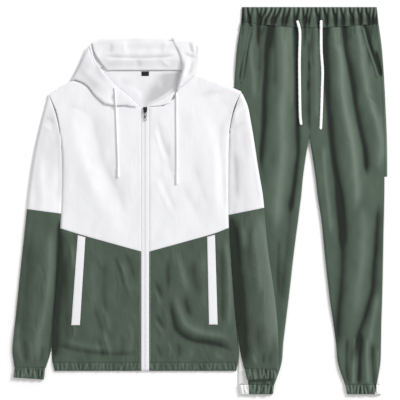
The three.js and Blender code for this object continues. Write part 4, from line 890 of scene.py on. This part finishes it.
# Shader node groups

def group(name, inputs, outputs):
    """An empty shader node group with named sockets."""
    tree = bpy.data.node_groups.new(name, "ShaderNodeTree")
    for label, kind, default in inputs:
        socket = tree.interface.new_socket(label, in_out="INPUT", socket_type=kind)
        socket.default_value = default
    for label, kind in outputs:
        tree.interface.new_socket(label, in_out="OUTPUT", socket_type=kind)
    return tree, tree.nodes.new("NodeGroupInput"), tree.nodes.new("NodeGroupOutput")


def math_node(tree, operation, a, b=None, c=None):
    """The output of a new Math node; each input is a value or another node's output."""
    node = tree.nodes.new("ShaderNodeMath")
    node.operation = operation
    for socket, value in zip(node.inputs, (a, b, c)):
        if isinstance(value, (int, float)):
            socket.default_value = value
        elif value is not None:
            tree.links.new(value, socket)
    return node.outputs[0]


def noise(tree, place, **values):
    """The output of a new noise texture at a place, with the named values set."""
    node = tree.nodes.new("ShaderNodeTexNoise")
    tree.links.new(place, node.inputs["Vector"])
    for label, value in values.items():
        node.inputs[label].default_value = value
    return node.outputs[0]


RIDGE_GAIN, RIDGE_GREY = 0.45, 0.045  # painted highlight: how much brighter a full ridge is made, and the grey painted on it
CREASE_STRETCH = (1.7, 0.7, 1.0)  # the small creases run along the garments' length
FLOAT, VECTOR, COLOUR = "NodeSocketFloat", "NodeSocketVector", "NodeSocketColor"


def weave_group():
    """Plain weave: the height of crossing threads and a mask that is darker between them."""
    tree, put, out = group("woven_threads", [("Position", VECTOR, (0, 0, 0)), ("Pitch", FLOAT, 0.0006)],
                           [("Height", FLOAT), ("Mask", FLOAT)])
    split = tree.nodes.new("ShaderNodeSeparateXYZ")
    tree.links.new(put.outputs["Position"], split.inputs[0])
    turns = math_node(tree, "DIVIDE", math.pi, put.outputs["Pitch"])
    across = math_node(tree, "SINE", math_node(tree, "MULTIPLY", split.outputs["X"], turns))
    along = math_node(tree, "SINE", math_node(tree, "MULTIPLY", split.outputs["Y"], turns))
    over = math_node(tree, "ABSOLUTE", math_node(tree, "MULTIPLY", across, along))
    tree.links.new(over, out.inputs["Height"])
    tree.links.new(math_node(tree, "MULTIPLY_ADD", over, 0.3, 0.7), out.inputs["Mask"])
    return tree


def tone_and_fold_shade_group():
    """Uneven dye and faint handling marks: a colour and a roughness that wander slowly.

    The colour has painted shade in the folds, where little light comes in, and a painted highlight, paler and
    greyer, along the ridges.
    """
    tree, put, out = group(
        "cloth_tone_and_fold_shade",
        [("Position", VECTOR, (0, 0, 0)), ("Colour", COLOUR, (1, 1, 1, 1)), ("Amount", FLOAT, 0.06),
         ("Roughness", FLOAT, 0.8), ("Hollow", FLOAT, 0.0), ("Shade", FLOAT, 0.0)],
        [("Colour", COLOUR), ("Roughness", FLOAT), ("Height", FLOAT), ("Creases", FLOAT)])
    broad = noise(tree, put.outputs["Position"], Scale=9, Detail=4)
    fine = noise(tree, put.outputs["Position"], Scale=420, Detail=3)
    stretched = tree.nodes.new("ShaderNodeVectorMath")
    stretched.operation = "MULTIPLY"
    stretched.inputs[1].default_value = CREASE_STRETCH
    tree.links.new(put.outputs["Position"], stretched.inputs[0])
    creases = noise(tree, stretched.outputs[0], Scale=21, Detail=1.5, Distortion=1.4)
    tree.links.new(creases, out.inputs["Creases"])
    shade = math_node(tree, "ADD", math_node(tree, "SUBTRACT", broad, 0.5),
                      math_node(tree, "MULTIPLY", math_node(tree, "SUBTRACT", fine, 0.5), 0.6))
    # Painted shade in the troughs and painted highlight on the ridges, from the fold depth in Hollow, as
    # strong as Shade
    sunk = math_node(tree, "MINIMUM", put.outputs["Hollow"], 0.0)
    raised = math_node(tree, "MAXIMUM", put.outputs["Hollow"], 0.0)
    bent = math_node(tree, "MULTIPLY_ADD", raised, RIDGE_GAIN, sunk)
    fold = math_node(tree, "MULTIPLY_ADD", bent, put.outputs["Shade"], 1.0)
    # Painted highlight: a grey added along the ridges
    ridge_highlight = math_node(tree, "MULTIPLY", math_node(tree, "MULTIPLY", raised, RIDGE_GREY), put.outputs["Shade"])
    uneven = math_node(tree, "MULTIPLY_ADD", shade, put.outputs["Amount"], 1.0)
    scale = math_node(tree, "MULTIPLY", uneven, fold)
    mix = tree.nodes.new("ShaderNodeVectorMath")
    mix.operation = "SCALE"
    tree.links.new(put.outputs["Colour"], mix.inputs[0])
    tree.links.new(scale, mix.inputs["Scale"])
    lit = tree.nodes.new("ShaderNodeVectorMath")
    lit.operation = "ADD"
    tree.links.new(mix.outputs[0], lit.inputs[0])
    tree.links.new(ridge_highlight, lit.inputs[1])
    tree.links.new(lit.outputs[0], out.inputs["Colour"])
    rough = math_node(tree, "MULTIPLY_ADD", shade, 0.25, put.outputs["Roughness"])
    tree.links.new(rough, out.inputs["Roughness"])
    tree.links.new(fine, out.inputs["Height"])
    return tree


GROUPS = {}


def placed(tree, name, maker):
    """A node in a material that holds the named group, which is made once."""
    if name not in GROUPS:
        GROUPS[name] = maker()
    node = tree.nodes.new("ShaderNodeGroup")
    node.node_tree = GROUPS[name]
    return node


MATERIALS = {}
THREAD_HEIGHT = 0.00012  # metres
SCRATCH_HEIGHT = 0.00005  # metres


def toned(name, colour, amount, roughness):
    """A new material whose colour and roughness come from the tone group, with its nodes."""
    material = bpy.data.materials.new(name)
    material.use_nodes = True
    tree = material.node_tree
    shader = tree.nodes["Principled BSDF"]
    place = tree.nodes.new("ShaderNodeTexCoord").outputs["Object"]
    tone = placed(tree, "cloth_tone_and_fold_shade", tone_and_fold_shade_group)
    tone.inputs["Colour"].default_value = (*colour, 1)
    tone.inputs["Amount"].default_value = amount
    tone.inputs["Roughness"].default_value = roughness
    tree.links.new(place, tone.inputs["Position"])
    tree.links.new(tone.outputs["Colour"], shader.inputs["Base Color"])
    tree.links.new(tone.outputs["Roughness"], shader.inputs["Roughness"])
    return material, tree, shader, place, tone


def add_bump(tree, shader, height, strength, distance):
    """Lets a height bend the shader's normal."""
    bump = tree.nodes.new("ShaderNodeBump")
    bump.inputs["Strength"].default_value = strength
    bump.inputs["Distance"].default_value = distance
    tree.links.new(height, bump.inputs["Height"])
    tree.links.new(bump.outputs["Normal"], shader.inputs["Normal"])


def woven(name, colour, pitch=0.0006, amount=0.06, roughness=0.82, sheen=0.25, depth=0.5, shade=0.0,
          crumple=0.0):
    """Woven cloth: threads as bump, uneven tone, a soft sheen, and painted shade in the folds and painted
    highlight on the ridges, as strong as shade.
    """
    if name in MATERIALS:
        return MATERIALS[name]
    material, tree, shader, place, tone = toned(name, colour, amount, roughness)
    tone.inputs["Shade"].default_value = shade
    # The fold depth of each point, which paints shade in the troughs and a highlight on the ridges
    hollow = tree.nodes.new("ShaderNodeAttribute")
    hollow.attribute_name = "hollow"
    tree.links.new(hollow.outputs["Fac"], tone.inputs["Hollow"])
    threads = placed(tree, "woven_threads", weave_group)
    threads.inputs["Pitch"].default_value = pitch
    tree.links.new(place, threads.inputs["Position"])
    height = math_node(tree, "MULTIPLY_ADD", tone.outputs["Height"], 0.5, threads.outputs["Height"])
    height = math_node(tree, "MULTIPLY_ADD", tone.outputs["Creases"], crumple, height)
    add_bump(tree, shader, height, depth, THREAD_HEIGHT)
    shader.inputs["Sheen Weight"].default_value = sheen
    shader.inputs["Sheen Roughness"].default_value = 0.45
    shader.inputs["Specular IOR Level"].default_value = 0.3
    MATERIALS[name] = material
    return material


def metal(name, colour, roughness, metallic):
    """Cast metal with fine scratches and a slightly uneven polish."""
    if name in MATERIALS:
        return MATERIALS[name]
    material, tree, shader, _, tone = toned(name, colour, 0.1, roughness)
    add_bump(tree, shader, tone.outputs["Height"], 0.15, SCRATCH_HEIGHT)
    shader.inputs["Metallic"].default_value = metallic
    MATERIALS[name] = material
    return material


def white_shell():
    return woven("white_shell_cloth", settings()[2].white, amount=0.02, sheen=0.15, shade=0.36, crumple=13.0)


def green_shell():
    return woven("green_shell_cloth", settings()[2].green, amount=0.1, shade=0.75, crumple=62.0)


def trouser_cloth():
    colour = settings()[2].trouser
    return woven("green_trouser_cloth", colour, amount=0.1, pitch=0.0007, shade=0.85, crumple=26.0)


def panel_cloth():
    return woven("white_panel_cloth", settings()[2].panel, amount=0.02, shade=0.7)


def cord_braid():
    return woven("white_cord_braid", settings()[2].cord, pitch=0.0012, amount=0.03, depth=0.9)


def black_enamel():
    return metal("black_enamel", settings()[2].metal, 0.4, 0.1)


# Camera and stage

class TRACKSUIT_OT_stage(bpy.types.Operator):
    """Set the camera straight above, a pale floor and soft studio light."""
    bl_idname = "tracksuit.stage"
    bl_label = "Stage"

    VIEW_WIDTH = 0.98
    VIEW_CENTRE = (0.0, 0.0012)
    CAMERA_HEIGHT = 5.0
    KEY = {"place": (5.0, 4.4, 4.6), "size": 2.2, "power": 520.0}
    FILL = {"place": (-1.6, -0.6, 2.4), "size": 2.4, "power": 6.0}
    SKY_STRENGTH = 0.58
    FLOOR_HALF = 4.0

    def execute(self, context):
        camera = bpy.data.cameras.new("camera")
        camera.sensor_width = 36
        camera.lens = camera.sensor_width * self.CAMERA_HEIGHT / self.VIEW_WIDTH
        camera.clip_end = 50
        eye = bpy.data.objects.new("camera", camera)
        eye.location = (*self.VIEW_CENTRE, self.CAMERA_HEIGHT)
        context.scene.collection.objects.link(eye)
        context.scene.camera = eye
        self.floor(context)
        for name, light in (("key_light", self.KEY), ("fill_light", self.FILL)):
            lamp = bpy.data.lights.new(name, "AREA")
            lamp.size = light["size"]
            lamp.energy = light["power"]
            holder = bpy.data.objects.new(name, lamp)
            holder.location = light["place"]
            holder.rotation_euler = (-Vector(light["place"])).to_track_quat("-Z", "Y").to_euler()
            context.scene.collection.objects.link(holder)
        world = bpy.data.worlds.new("studio")
        world.use_nodes = True
        world.node_tree.nodes["Background"].inputs["Color"].default_value = (1, 1, 1, 1)
        world.node_tree.nodes["Background"].inputs["Strength"].default_value = self.SKY_STRENGTH
        context.scene.world = world
        context.scene.view_settings.view_transform = "Standard"
        return {"FINISHED"}

    def floor(self, context):
        mesh = bpy.data.meshes.new("floor")
        half = self.FLOOR_HALF
        corners = [(-half, -half, 0), (half, -half, 0), (half, half, 0), (-half, half, 0)]
        mesh.from_pydata(corners, [], [(0, 1, 2, 3)])
        material = bpy.data.materials.new("pale_floor")
        material.use_nodes = True
        shader = material.node_tree.nodes["Principled BSDF"]
        shader.inputs["Base Color"].default_value = (*settings()[2].floor, 1)
        shader.inputs["Roughness"].default_value = 0.9
        shader.inputs["Specular IOR Level"].default_value = 0.1
        mesh.materials.append(material)
        floor = bpy.data.objects.new("floor", mesh)
        context.scene.collection.objects.link(floor)


# Trousers

class TRACKSUIT_OT_trousers(bpy.types.Operator):
    """Make the legs, side panels, waistband and ankle cuffs."""
    bl_idname = "tracksuit.trousers"
    bl_label = "Trousers"

    def execute(self, context):
        sizes = settings()[0]
        high = sizes.gathers / MM
        band = band_rows(high)
        ankles = sum((gather_rows(*edge) for edge in ANKLE_GATHERS), ())
        creases = TROUSER_CREASES + band + ankles
        for hand in "lr":
            for node, made, slot in (
                (f"trouser_back_{hand}", trouser_cloth, "green_trouser"),
                (f"ankle_cuff_back_{hand}", trouser_cloth, "green_trouser"),
            ):
                cloth(node, made(), slot, cell=9, rounds=0)
            back = [f"trouser_back_{hand}"]
            for node, made, slot in (
                (f"trouser_front_{hand}", trouser_cloth, "green_trouser"),
                (f"trouser_side_upper_{hand}", trouser_cloth, "green_trouser"),
                (f"trouser_side_lower_{hand}", panel_cloth, "white_panel"),
            ):
                folds = sizes.trouser_folds if made is trouser_cloth else sizes.panel_folds
                cloth(node, made(), slot, rests_on=back, over=OVER_TROUSERS, creases=creases, folds=folds)
            for node, made, slot, deep in (
                (f"ankle_cuff_{hand}", trouser_cloth, "green_trouser", DEEP_GATHER),
                (f"ankle_cuff_side_{hand}", panel_cloth, "white_panel", 4 * DEEP_FOLD),
            ):
                cloth(node, made(), slot, held="gathered", cell=1.6, rests_on=[f"ankle_cuff_back_{hand}"],
                      over=OVER_TROUSERS, creases=ankles, deep=deep)
        cloth("waistband_back", trouser_cloth(), "green_trouser", cell=9, rounds=0)
        cloth("waistband_front", trouser_cloth(), "green_trouser", held="gathered", cell=1.6,
              rests_on=["waistband_back"], creases=band, deep=DEEP_GATHER)
        return {"FINISHED"}


# Jacket

class TRACKSUIT_OT_jacket(bpy.types.Operator):
    """Make the jacket's back, fronts and hem."""
    bl_idname = "tracksuit.jacket"
    bl_label = "Jacket body"

    def execute(self, context):
        sizes = settings()[0]
        cloth("jacket_back_upper", white_shell(), "white_shell", over=OVER_BACK, creases=NECK_CREASES,
              rounds=0)
        cloth("jacket_back_lower", green_shell(), "green_shell", cell=9, rounds=0)
        cloth("jacket_hem_back", green_shell(), "green_shell", cell=9, rounds=0)
        hem = sum((gather_rows(*edge, wide=2.6) for edge in HEM_GATHERS), ())
        for hand in "lr":
            for node, made, slot, below in (
                (f"jacket_front_upper_{hand}", white_shell, "white_shell", "jacket_back_upper"),
                (f"jacket_front_lower_{hand}", green_shell, "green_shell", "jacket_back_lower"),
            ):
                folds = sizes.green_folds if made is green_shell else sizes.white_folds
                cloth(node, made(), slot, rests_on=[below], over=OVER_JACKET, creases=JACKET_CREASES + hem,
                      folds=folds, spread=SIDE_SPREAD)
            cloth(f"jacket_hem_{hand}", green_shell(), "green_shell", held="gathered", cell=2.0,
                  rests_on=["jacket_hem_back"], creases=hem, deep=DEEP_GATHER)
        return {"FINISHED"}


class TRACKSUIT_OT_sleeves(bpy.types.Operator):
    """Make the sleeves and their elastic cuffs."""
    bl_idname = "tracksuit.sleeves"
    bl_label = "Sleeves"

    def execute(self, context):
        sizes = settings()[0]
        for hand in "lr":
            cuff = gather_rows(*CUFF_GATHERS[hand])
            under = ["trouser_front_l"] if hand == "r" else []
            for part, made, slot in (
                ("upper", white_shell, "white_shell"),
                ("lower", green_shell, "green_shell"),
            ):
                folds = sizes.green_folds if made is green_shell else sizes.white_folds
                tube(f"sleeve_{part}_{hand}", made(), slot, rests_on=under, creases=SLEEVE_CREASES + cuff,
                     folds=folds, spread=SIDE_SPREAD)
            tube(f"jacket_cuff_{hand}", green_shell(), "green_shell", held="gathered", cell=1.6,
                 rests_on=under, creases=cuff, deep=DEEP_GATHER)
        return {"FINISHED"}


class TRACKSUIT_OT_hood(bpy.types.Operator):
    """Make the opened hood, its rim channel and the neck label."""
    bl_idname = "tracksuit.hood"
    bl_label = "Hood"

    def execute(self, context):
        for node, below, rounds in (
            ("hood_crown_fold", "floor", 2),
            ("hood_centre", "hood_crown_fold", 3),
            ("hood_side_l", "jacket_front_upper_l", 4),
            ("hood_rim_l", "hood_side_l", 3),
            ("hood_corner_r", "jacket_front_upper_r", 2),
            ("hood_side_r", "jacket_front_upper_r", 3),
        ):
            cloth(node, white_shell(), "white_shell", held="folded", rests_on=[below], cell=3, rounds=rounds,
                  creases=HOOD_CREASES, folds=1.5)
        label = woven("label_ribbon", settings()[2].label, pitch=0.0004, amount=0.2, roughness=0.5, sheen=0.1)
        laid_strip("neck_label", label, "black_label", ["jacket_back_upper"], 0.8, cell=1.5)
        return {"FINISHED"}


class TRACKSUIT_OT_pockets(bpy.types.Operator):
    """Make the jacket's pocket welts and the trousers' pocket mouths."""
    bl_idname = "tracksuit.pockets"
    bl_label = "Pockets"

    def execute(self, context):
        for hand in "lr":
            fronts = [f"jacket_front_upper_{hand}", f"jacket_front_lower_{hand}"]
            laid_strip(f"pocket_welt_{hand}", white_shell(), "white_shell", fronts, 1.2)
            legs = [f"trouser_front_{hand}", f"trouser_side_upper_{hand}"]
            laid_strip(f"pocket_mouth_{hand}", trouser_cloth(), "green_trouser", legs, 1.0)
        return {"FINISHED"}


# Zip

def tooth_block(centre, half, taper):
    """The corners and faces of one tooth, a small block that is narrower on top."""
    corners = [
        (centre[0] + x * half[0] * scale, centre[1] + y * half[1] * scale, centre[2] + z * half[2])
        for z, scale in ((-1, 1.0), (1, taper))
        for x, y in ((-1, -1), (1, -1), (1, 1), (-1, 1))
    ]
    faces = [(0, 3, 2, 1), (4, 5, 6, 7), (0, 1, 5, 4), (1, 2, 6, 5), (2, 3, 7, 6), (3, 0, 4, 7)]
    return corners, faces


def joined_blocks(blocks):
    """Many small forms as one mesh."""
    points, faces = [], []
    for corners, sides in blocks:
        start = len(points)
        points += corners
        faces += [tuple(start + i for i in side) for side in sides]
    return points, faces


class TRACKSUIT_OT_zip(bpy.types.Operator):
    """Make the zip's tapes and teeth and finish its slider, bail, pull tab and ring."""
    bl_idname = "tracksuit.zip"
    bl_label = "Zip"

    CENTRE = -134.0
    TEETH_FROM = -414.0
    TEETH_TO = 214.0

    def execute(self, context):
        _, sizes, colours = settings()
        tape = woven("zip_tape_weave", colours.white, pitch=0.0009, amount=0.03, depth=0.8)
        for hand in "lr":
            cloth(f"zip_tape_{hand}", tape, "white_shell", cell=2.4, rounds=2,
                  rests_on=["jacket_back_upper", "jacket_back_lower"])
        pitch, half = sizes.pitch / MM, sizes.tooth / MM / 2
        count = int((self.TEETH_TO - self.TEETH_FROM) / pitch)
        places = np.array([
            (self.CENTRE + (1 if i % 2 else -1) * half * 0.42, self.TEETH_FROM + pitch * i)
            for i in range(count)
        ])
        tops = surface(places, ["zip_tape_l", "zip_tape_r"], missing=np.nan)
        tops = np.where(np.isnan(tops), np.nanmean(tops), tops)
        teeth = joined_blocks([
            tooth_block((x, y, top + 0.55), (half * 0.62, pitch * 0.3, 0.75), taper=0.75)
            for (x, y), top in zip(places, tops)
        ])
        resin = woven("zip_teeth_resin", colours.white, pitch=0.0008, amount=0.04, roughness=0.4, sheen=0.0,
                      depth=0.1)
        add_piece("zip_teeth", *teeth, resin, "white_shell", sharp=30)
        black = black_enamel()
        bright = metal("bright_steel", colours.steel, 0.2, 1.0)
        finishes = {"zip_slider": black, "zip_bail": black, "pull_tab": black, "pull_ring": bright}
        for node, material in finishes.items():
            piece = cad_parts[node]
            piece.data.materials.clear()
            piece.data.materials.append(material)
        return {"FINISHED"}


# Cords

# Their routes in the plan, in metres, as in the part's source
HOOD_CORD_PLAN = {
    "l": ((-0.2085, 0.277), (-0.207, 0.262), (-0.2055, 0.235), (-0.2035, 0.185), (-0.201, 0.124),
          (-0.1997, 0.084)),
    "r": ((-0.0575, 0.264), (-0.057, 0.24), (-0.057, 0.197), (-0.0564, 0.124), (-0.0564, 0.067)),
}
WAIST_CORD_PLAN = {
    "l": ((0.2375, 0.44), (0.242, 0.425), (0.2445, 0.405), (0.2432, 0.342), (0.2438, 0.273), (0.245, 0.209),
          (0.2475, 0.185)),
    "r": ((0.2962, 0.441), (0.2962, 0.405), (0.2966, 0.366), (0.2996, 0.317), (0.2986, 0.273), (0.297, 0.22),
          (0.2952, 0.174)),
}


def tube_along(route, wide, thick, sides, twist=0.0, rib=0.0):
    """A closed tube of oval section along a route, with its width lying level."""
    count = len(route)
    points = []
    for i, at in enumerate(route):
        ahead = route[min(i + 1, count - 1)] - route[max(i - 1, 0)]
        ahead = ahead / np.linalg.norm(ahead)
        side = np.array([-ahead[1], ahead[0], 0.0])
        side /= np.linalg.norm(side)
        lift = np.cross(ahead, side)
        from_end = min(i, count - 1 - i)
        shrink = 1.0 if from_end > 1 else (0.55, 0.88)[from_end]
        for k in range(sides):
            angle = 2 * math.pi * (k + 0.5) / sides
            swell = shrink * (1 + rib * math.cos(4 * angle + twist * i))
            out, down = math.cos(angle) * wide / 2, math.sin(angle) * thick / 2
            points.append(at + (side * out - lift * down) * swell)
    faces = []
    for i in range(count - 1):
        for k in range(sides):
            n = (k + 1) % sides
            faces.append((i * sides + k, (i + 1) * sides + k, (i + 1) * sides + n, i * sides + n))
    faces.append(tuple(range(sides)))
    faces.append(tuple((count - 1) * sides + k for k in reversed(range(sides))))
    return np.array(points), faces


def route_on_cloth(plan, spacing, half, thick, lift=0.25):
    """A route in millimetres through plan points in metres, lying on the finished cloth."""
    line = rounded_line(np.array(plan) / MM, 24)
    run = np.concatenate([[0], np.cumsum(np.linalg.norm(np.diff(line, axis=0), axis=1))])
    at = np.linspace(0, run[-1], round(run[-1] / spacing) + 1)
    line = np.column_stack([np.interp(at, run, line[:, k]) for k in range(2)])
    tops = np.max([surface(line + (side * half, 0)) for side in (-1, 0, 1)], axis=0)
    for _ in range(6):
        padded = np.pad(tops, 1, mode="edge")
        tops = np.maximum(tops, (padded[:-2] + padded[2:]) / 2)
    for _ in range(3):
        padded = np.pad(tops, 1, mode="edge")
        tops = np.maximum(tops, (padded[:-2] + tops + padded[2:]) / 3)
    return np.column_stack([line, tops + lift + thick / 2])


class TRACKSUIT_OT_cords(bpy.types.Operator):
    """Lay the free ends of the hood cord and the waist cord."""
    bl_idname = "tracksuit.cords"
    bl_label = "Cords"

    SPACING = 2.0
    WAIST_THICK = 1.8
    TIP_LONG = 27.0
    TIP_WIDE = 5.0
    RING_SHARES = (0.12, 0.86)
    RING_LONG = 2.4

    def execute(self, context):
        _, sizes, _ = settings()
        round_cord, flat_cord = sizes.hood_cord / MM, sizes.waist_cord / MM
        braid = cord_braid()
        for hand in "lr":
            route = route_on_cloth(HOOD_CORD_PLAN[hand], self.SPACING, round_cord / 2, round_cord)
            tip = self.tip(hand, route[-1], braid)
            self.lay(f"hood_cord_{hand}", route, round_cord, round_cord, braid, tip)
            route = route_on_cloth(WAIST_CORD_PLAN[hand], self.SPACING, flat_cord / 2, self.WAIST_THICK)
            self.lay(f"waist_cord_{hand}", route, flat_cord, self.WAIST_THICK, braid)
        return {"FINISHED"}

    def lay(self, node, route, wide, thick, material, tip=None):
        points, faces = tube_along(route, wide, thick, 12, twist=0.9, rib=0.045)
        piece = add_piece(f"{node}_braid", points, faces, material, "white_cord", sharp=70, replaces=[node])

    def tip(self, hand, start, material):
        """The moulded tip that closes a hood cord, bare but for its two dark rings."""
        node = f"hood_cord_tip_{hand}"
        low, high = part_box(node)
        x = (low.x + high.x) / 2 / MM
        steps = np.linspace(0, 1, 28)
        y = start[1] - steps * self.TIP_LONG
        plan = np.column_stack([np.full(len(y), x), y])
        tops = np.maximum.accumulate(surface(plan)[::-1])[::-1]
        z = np.maximum(tops.max(), start[2] - self.TIP_WIDE / 2 - 0.3) + self.TIP_WIDE / 2 + 0.2
        route = np.column_stack([plan, np.full(len(y), z)])
        points, faces = tube_along(route, self.TIP_WIDE, self.TIP_WIDE, 20)
        piece = add_piece(f"{node}_end", points, faces, material, "white_cord", sharp=40, replaces=[node])
        rings = []
        for share in self.RING_SHARES:
            middle = route[round(share * (len(route) - 1))]
            band = np.array([middle + (0, self.RING_LONG * step, 0) for step in (0.5, 0.25, -0.25, -0.5)])
            ring, sides = tube_along(band, self.TIP_WIDE + 0.5, self.TIP_WIDE + 0.5, 20)
            rings.append((list(map(tuple, ring)), sides))
        add_piece(f"{node}_rings", *joined_blocks(rings), black_enamel(), "black_metal", sharp=40)
        return piece


# Sewing

def stitch_row(line, spacing, long, thick, lift=0.12):
    """Stitches laid along a plan line on the finished pieces: (corners, faces) of each."""
    line = rounded_line(line, 20)
    run = np.concatenate([[0], np.cumsum(np.linalg.norm(np.diff(line, axis=0), axis=1))])
    at = np.arange(spacing / 2, run[-1], spacing)
    middle = np.column_stack([np.interp(at, run, line[:, k]) for k in range(2)])
    ahead = np.column_stack([np.interp(at + 0.6, run, line[:, k]) for k in range(2)]) - np.column_stack(
        [np.interp(at - 0.6, run, line[:, k]) for k in range(2)])
    ahead /= np.maximum(np.linalg.norm(ahead, axis=1), 1e-9)[:, None]
    ends = [middle - ahead * long / 2, middle + ahead * long / 2]
    tops = [surface(end, missing=np.nan) for end in ends]
    rows = []
    for a, b, za, zb in zip(*ends, *tops):
        if np.isnan(za) or np.isnan(zb) or abs(za - zb) > 2:
            continue
        rows.append(stitch((*a, za + lift), (*b, zb + lift), thick))
    return rows


def stitch(a, b, thick):
    """One stitch: a short spindle from point to point, half sunk in the cloth."""
    a, b = np.array(a), np.array(b)
    ahead = (b - a) / np.linalg.norm(b - a)
    side = np.cross(ahead, (0, 0, 1))
    side /= np.linalg.norm(side)
    lift = np.cross(side, ahead)
    points = [tuple(a - lift * thick * 0.4)]
    for share in (0.2, 0.8):
        middle = a + (b - a) * share
        for angle in (0, 90, 180, 270):
            turn = math.radians(angle)
            points.append(tuple(middle + (side * math.cos(turn) + lift * math.sin(turn)) * thick / 2))
    points.append(tuple(b - lift * thick * 0.4))
    faces = [(0, 2, 1), (0, 3, 2), (0, 4, 3), (0, 1, 4)]
    faces += [(1 + k, 1 + (k + 1) % 4, 5 + (k + 1) % 4, 5 + k) for k in range(4)]
    faces += [(9, 5 + k, 5 + (k + 1) % 4) for k in range(4)]
    return points, faces


WHITE_SEWING = (
    ((-150.7, -112), (-150.7, 225)),
    ((-117.6, -112), (-117.6, 225)),
    ((-146.5, -410), (-146.5, 225)),
    ((-121.5, -410), (-121.5, 225)),
)
GREEN_SEWING = (
    ((-150.7, -412), (-150.7, -130)),
    ((-117.6, -412), (-117.6, -130)),
    ((-356, -395), (-148, -395)),
    ((-120, -395), (88, -395)),
    ((-356, -406), (-148, -406)),
    ((-120, -406), (88, -406)),
    ((-338, -73), (-300, -85.5), (-280, -91.5), (-148, -126)),
    ((-120, -130), (17, -91), (37, -85), (66, -72)),
)
WELT_SEWING = (
    ((-313, -303), (-297, -89)),
    ((-296, -303), (-282.5, -92)),
    ((24, -301.5), (19.5, -92)),
    ((41, -301.5), (34.5, -88)),
    ((-313, -302.6), (-296, -302.6)),
    ((24, -301), (41, -301)),
)
TROUSER_SEWING = (
    ((99, 290), (105, 330), (114, 385), (124, 426)),
    ((102, 289), (108, 329), (117, 384), (127, 425)),
    ((435.5, 302), (427.5, 330), (413.5, 370), (399.5, 422)),
    ((432.5, 301), (424.5, 329), (410.5, 369), (396.5, 421)),
    ((288.5, 418), (288.5, 200), (284, 178), (270, 165)),
    ((106, 428), (270, 422), (430, 426)),
    ((103, 452), (270, 452), (434, 452)),
    ((100, -447), (180, -447)),
    ((358, -447), (443, -447)),
)


class TRACKSUIT_OT_sewing(bpy.types.Operator):
    """Sew the visible rows of stitches."""
    bl_idname = "tracksuit.sewing"
    bl_label = "Sewing"

    SPACING = 3.1
    THREAD_SHADE = 0.85  # the thread's colour as a share of the cloth's

    def execute(self, context):
        sizes, _, colours = settings()
        long, thick = sizes.stitch / MM, sizes.thread / MM
        for name, lines, colour, slot in (
            ("white_stitches", WHITE_SEWING + WELT_SEWING, colours.white, "white_shell"),
            ("green_stitches", GREEN_SEWING, colours.green, "green_shell"),
            ("trouser_stitches", TROUSER_SEWING, colours.trouser, "green_trouser"),
        ):
            rows = [row for line in lines for row in stitch_row(line, self.SPACING, long, thick)]
            darker = tuple(self.THREAD_SHADE * c for c in colour)
            thread = woven(f"{name}_thread", darker, pitch=0.0003, amount=0.1, roughness=0.5)
            add_piece(name, *joined_blocks(rows), thread, slot, sharp=80)
        return {"FINISHED"}


class TRACKSUIT_PT_panel(bpy.types.Panel):
    """Lists the steps that make the tracksuit."""
    bl_idname = "TRACKSUIT_PT_panel"
    bl_label = "Tracksuit"
    bl_space_type = "VIEW_3D"
    bl_region_type = "UI"
    bl_category = "Tracksuit"

    def draw(self, context):
        for operator in STEPS:
            self.layout.operator(operator.bl_idname)
        for group_name in GROUPS_OF_SETTINGS:
            settings_group = getattr(context.scene, group_name)
            for key in settings_group.__annotations__:
                self.layout.prop(settings_group, key)


STEPS = (
    TRACKSUIT_OT_stage,
    TRACKSUIT_OT_trousers,
    TRACKSUIT_OT_jacket,
    TRACKSUIT_OT_sleeves,
    TRACKSUIT_OT_hood,
    TRACKSUIT_OT_pockets,
    TRACKSUIT_OT_zip,
    TRACKSUIT_OT_cords,
    TRACKSUIT_OT_sewing,
)
GROUPS_OF_SETTINGS = {
    "tracksuit_cloth": TRACKSUIT_PG_cloth,
    "tracksuit_zip": TRACKSUIT_PG_zip,
    "tracksuit_colours": TRACKSUIT_PG_colours,
}
CLASSES = (*GROUPS_OF_SETTINGS.values(), *STEPS, TRACKSUIT_PT_panel)


def register():
    for made in CLASSES:
        bpy.utils.register_class(made)
    for name, made in GROUPS_OF_SETTINGS.items():
        setattr(bpy.types.Scene, name, bpy.props.PointerProperty(type=made))


def unregister():
    for name in GROUPS_OF_SETTINGS:
        delattr(bpy.types.Scene, name)
    for made in reversed(CLASSES):
        bpy.utils.unregister_class(made)


def main():
    register()
    for operator in STEPS:
        space, step = operator.bl_idname.split(".")
        getattr(getattr(bpy.ops, space), step)()


if __name__ == "__main__":
    main()
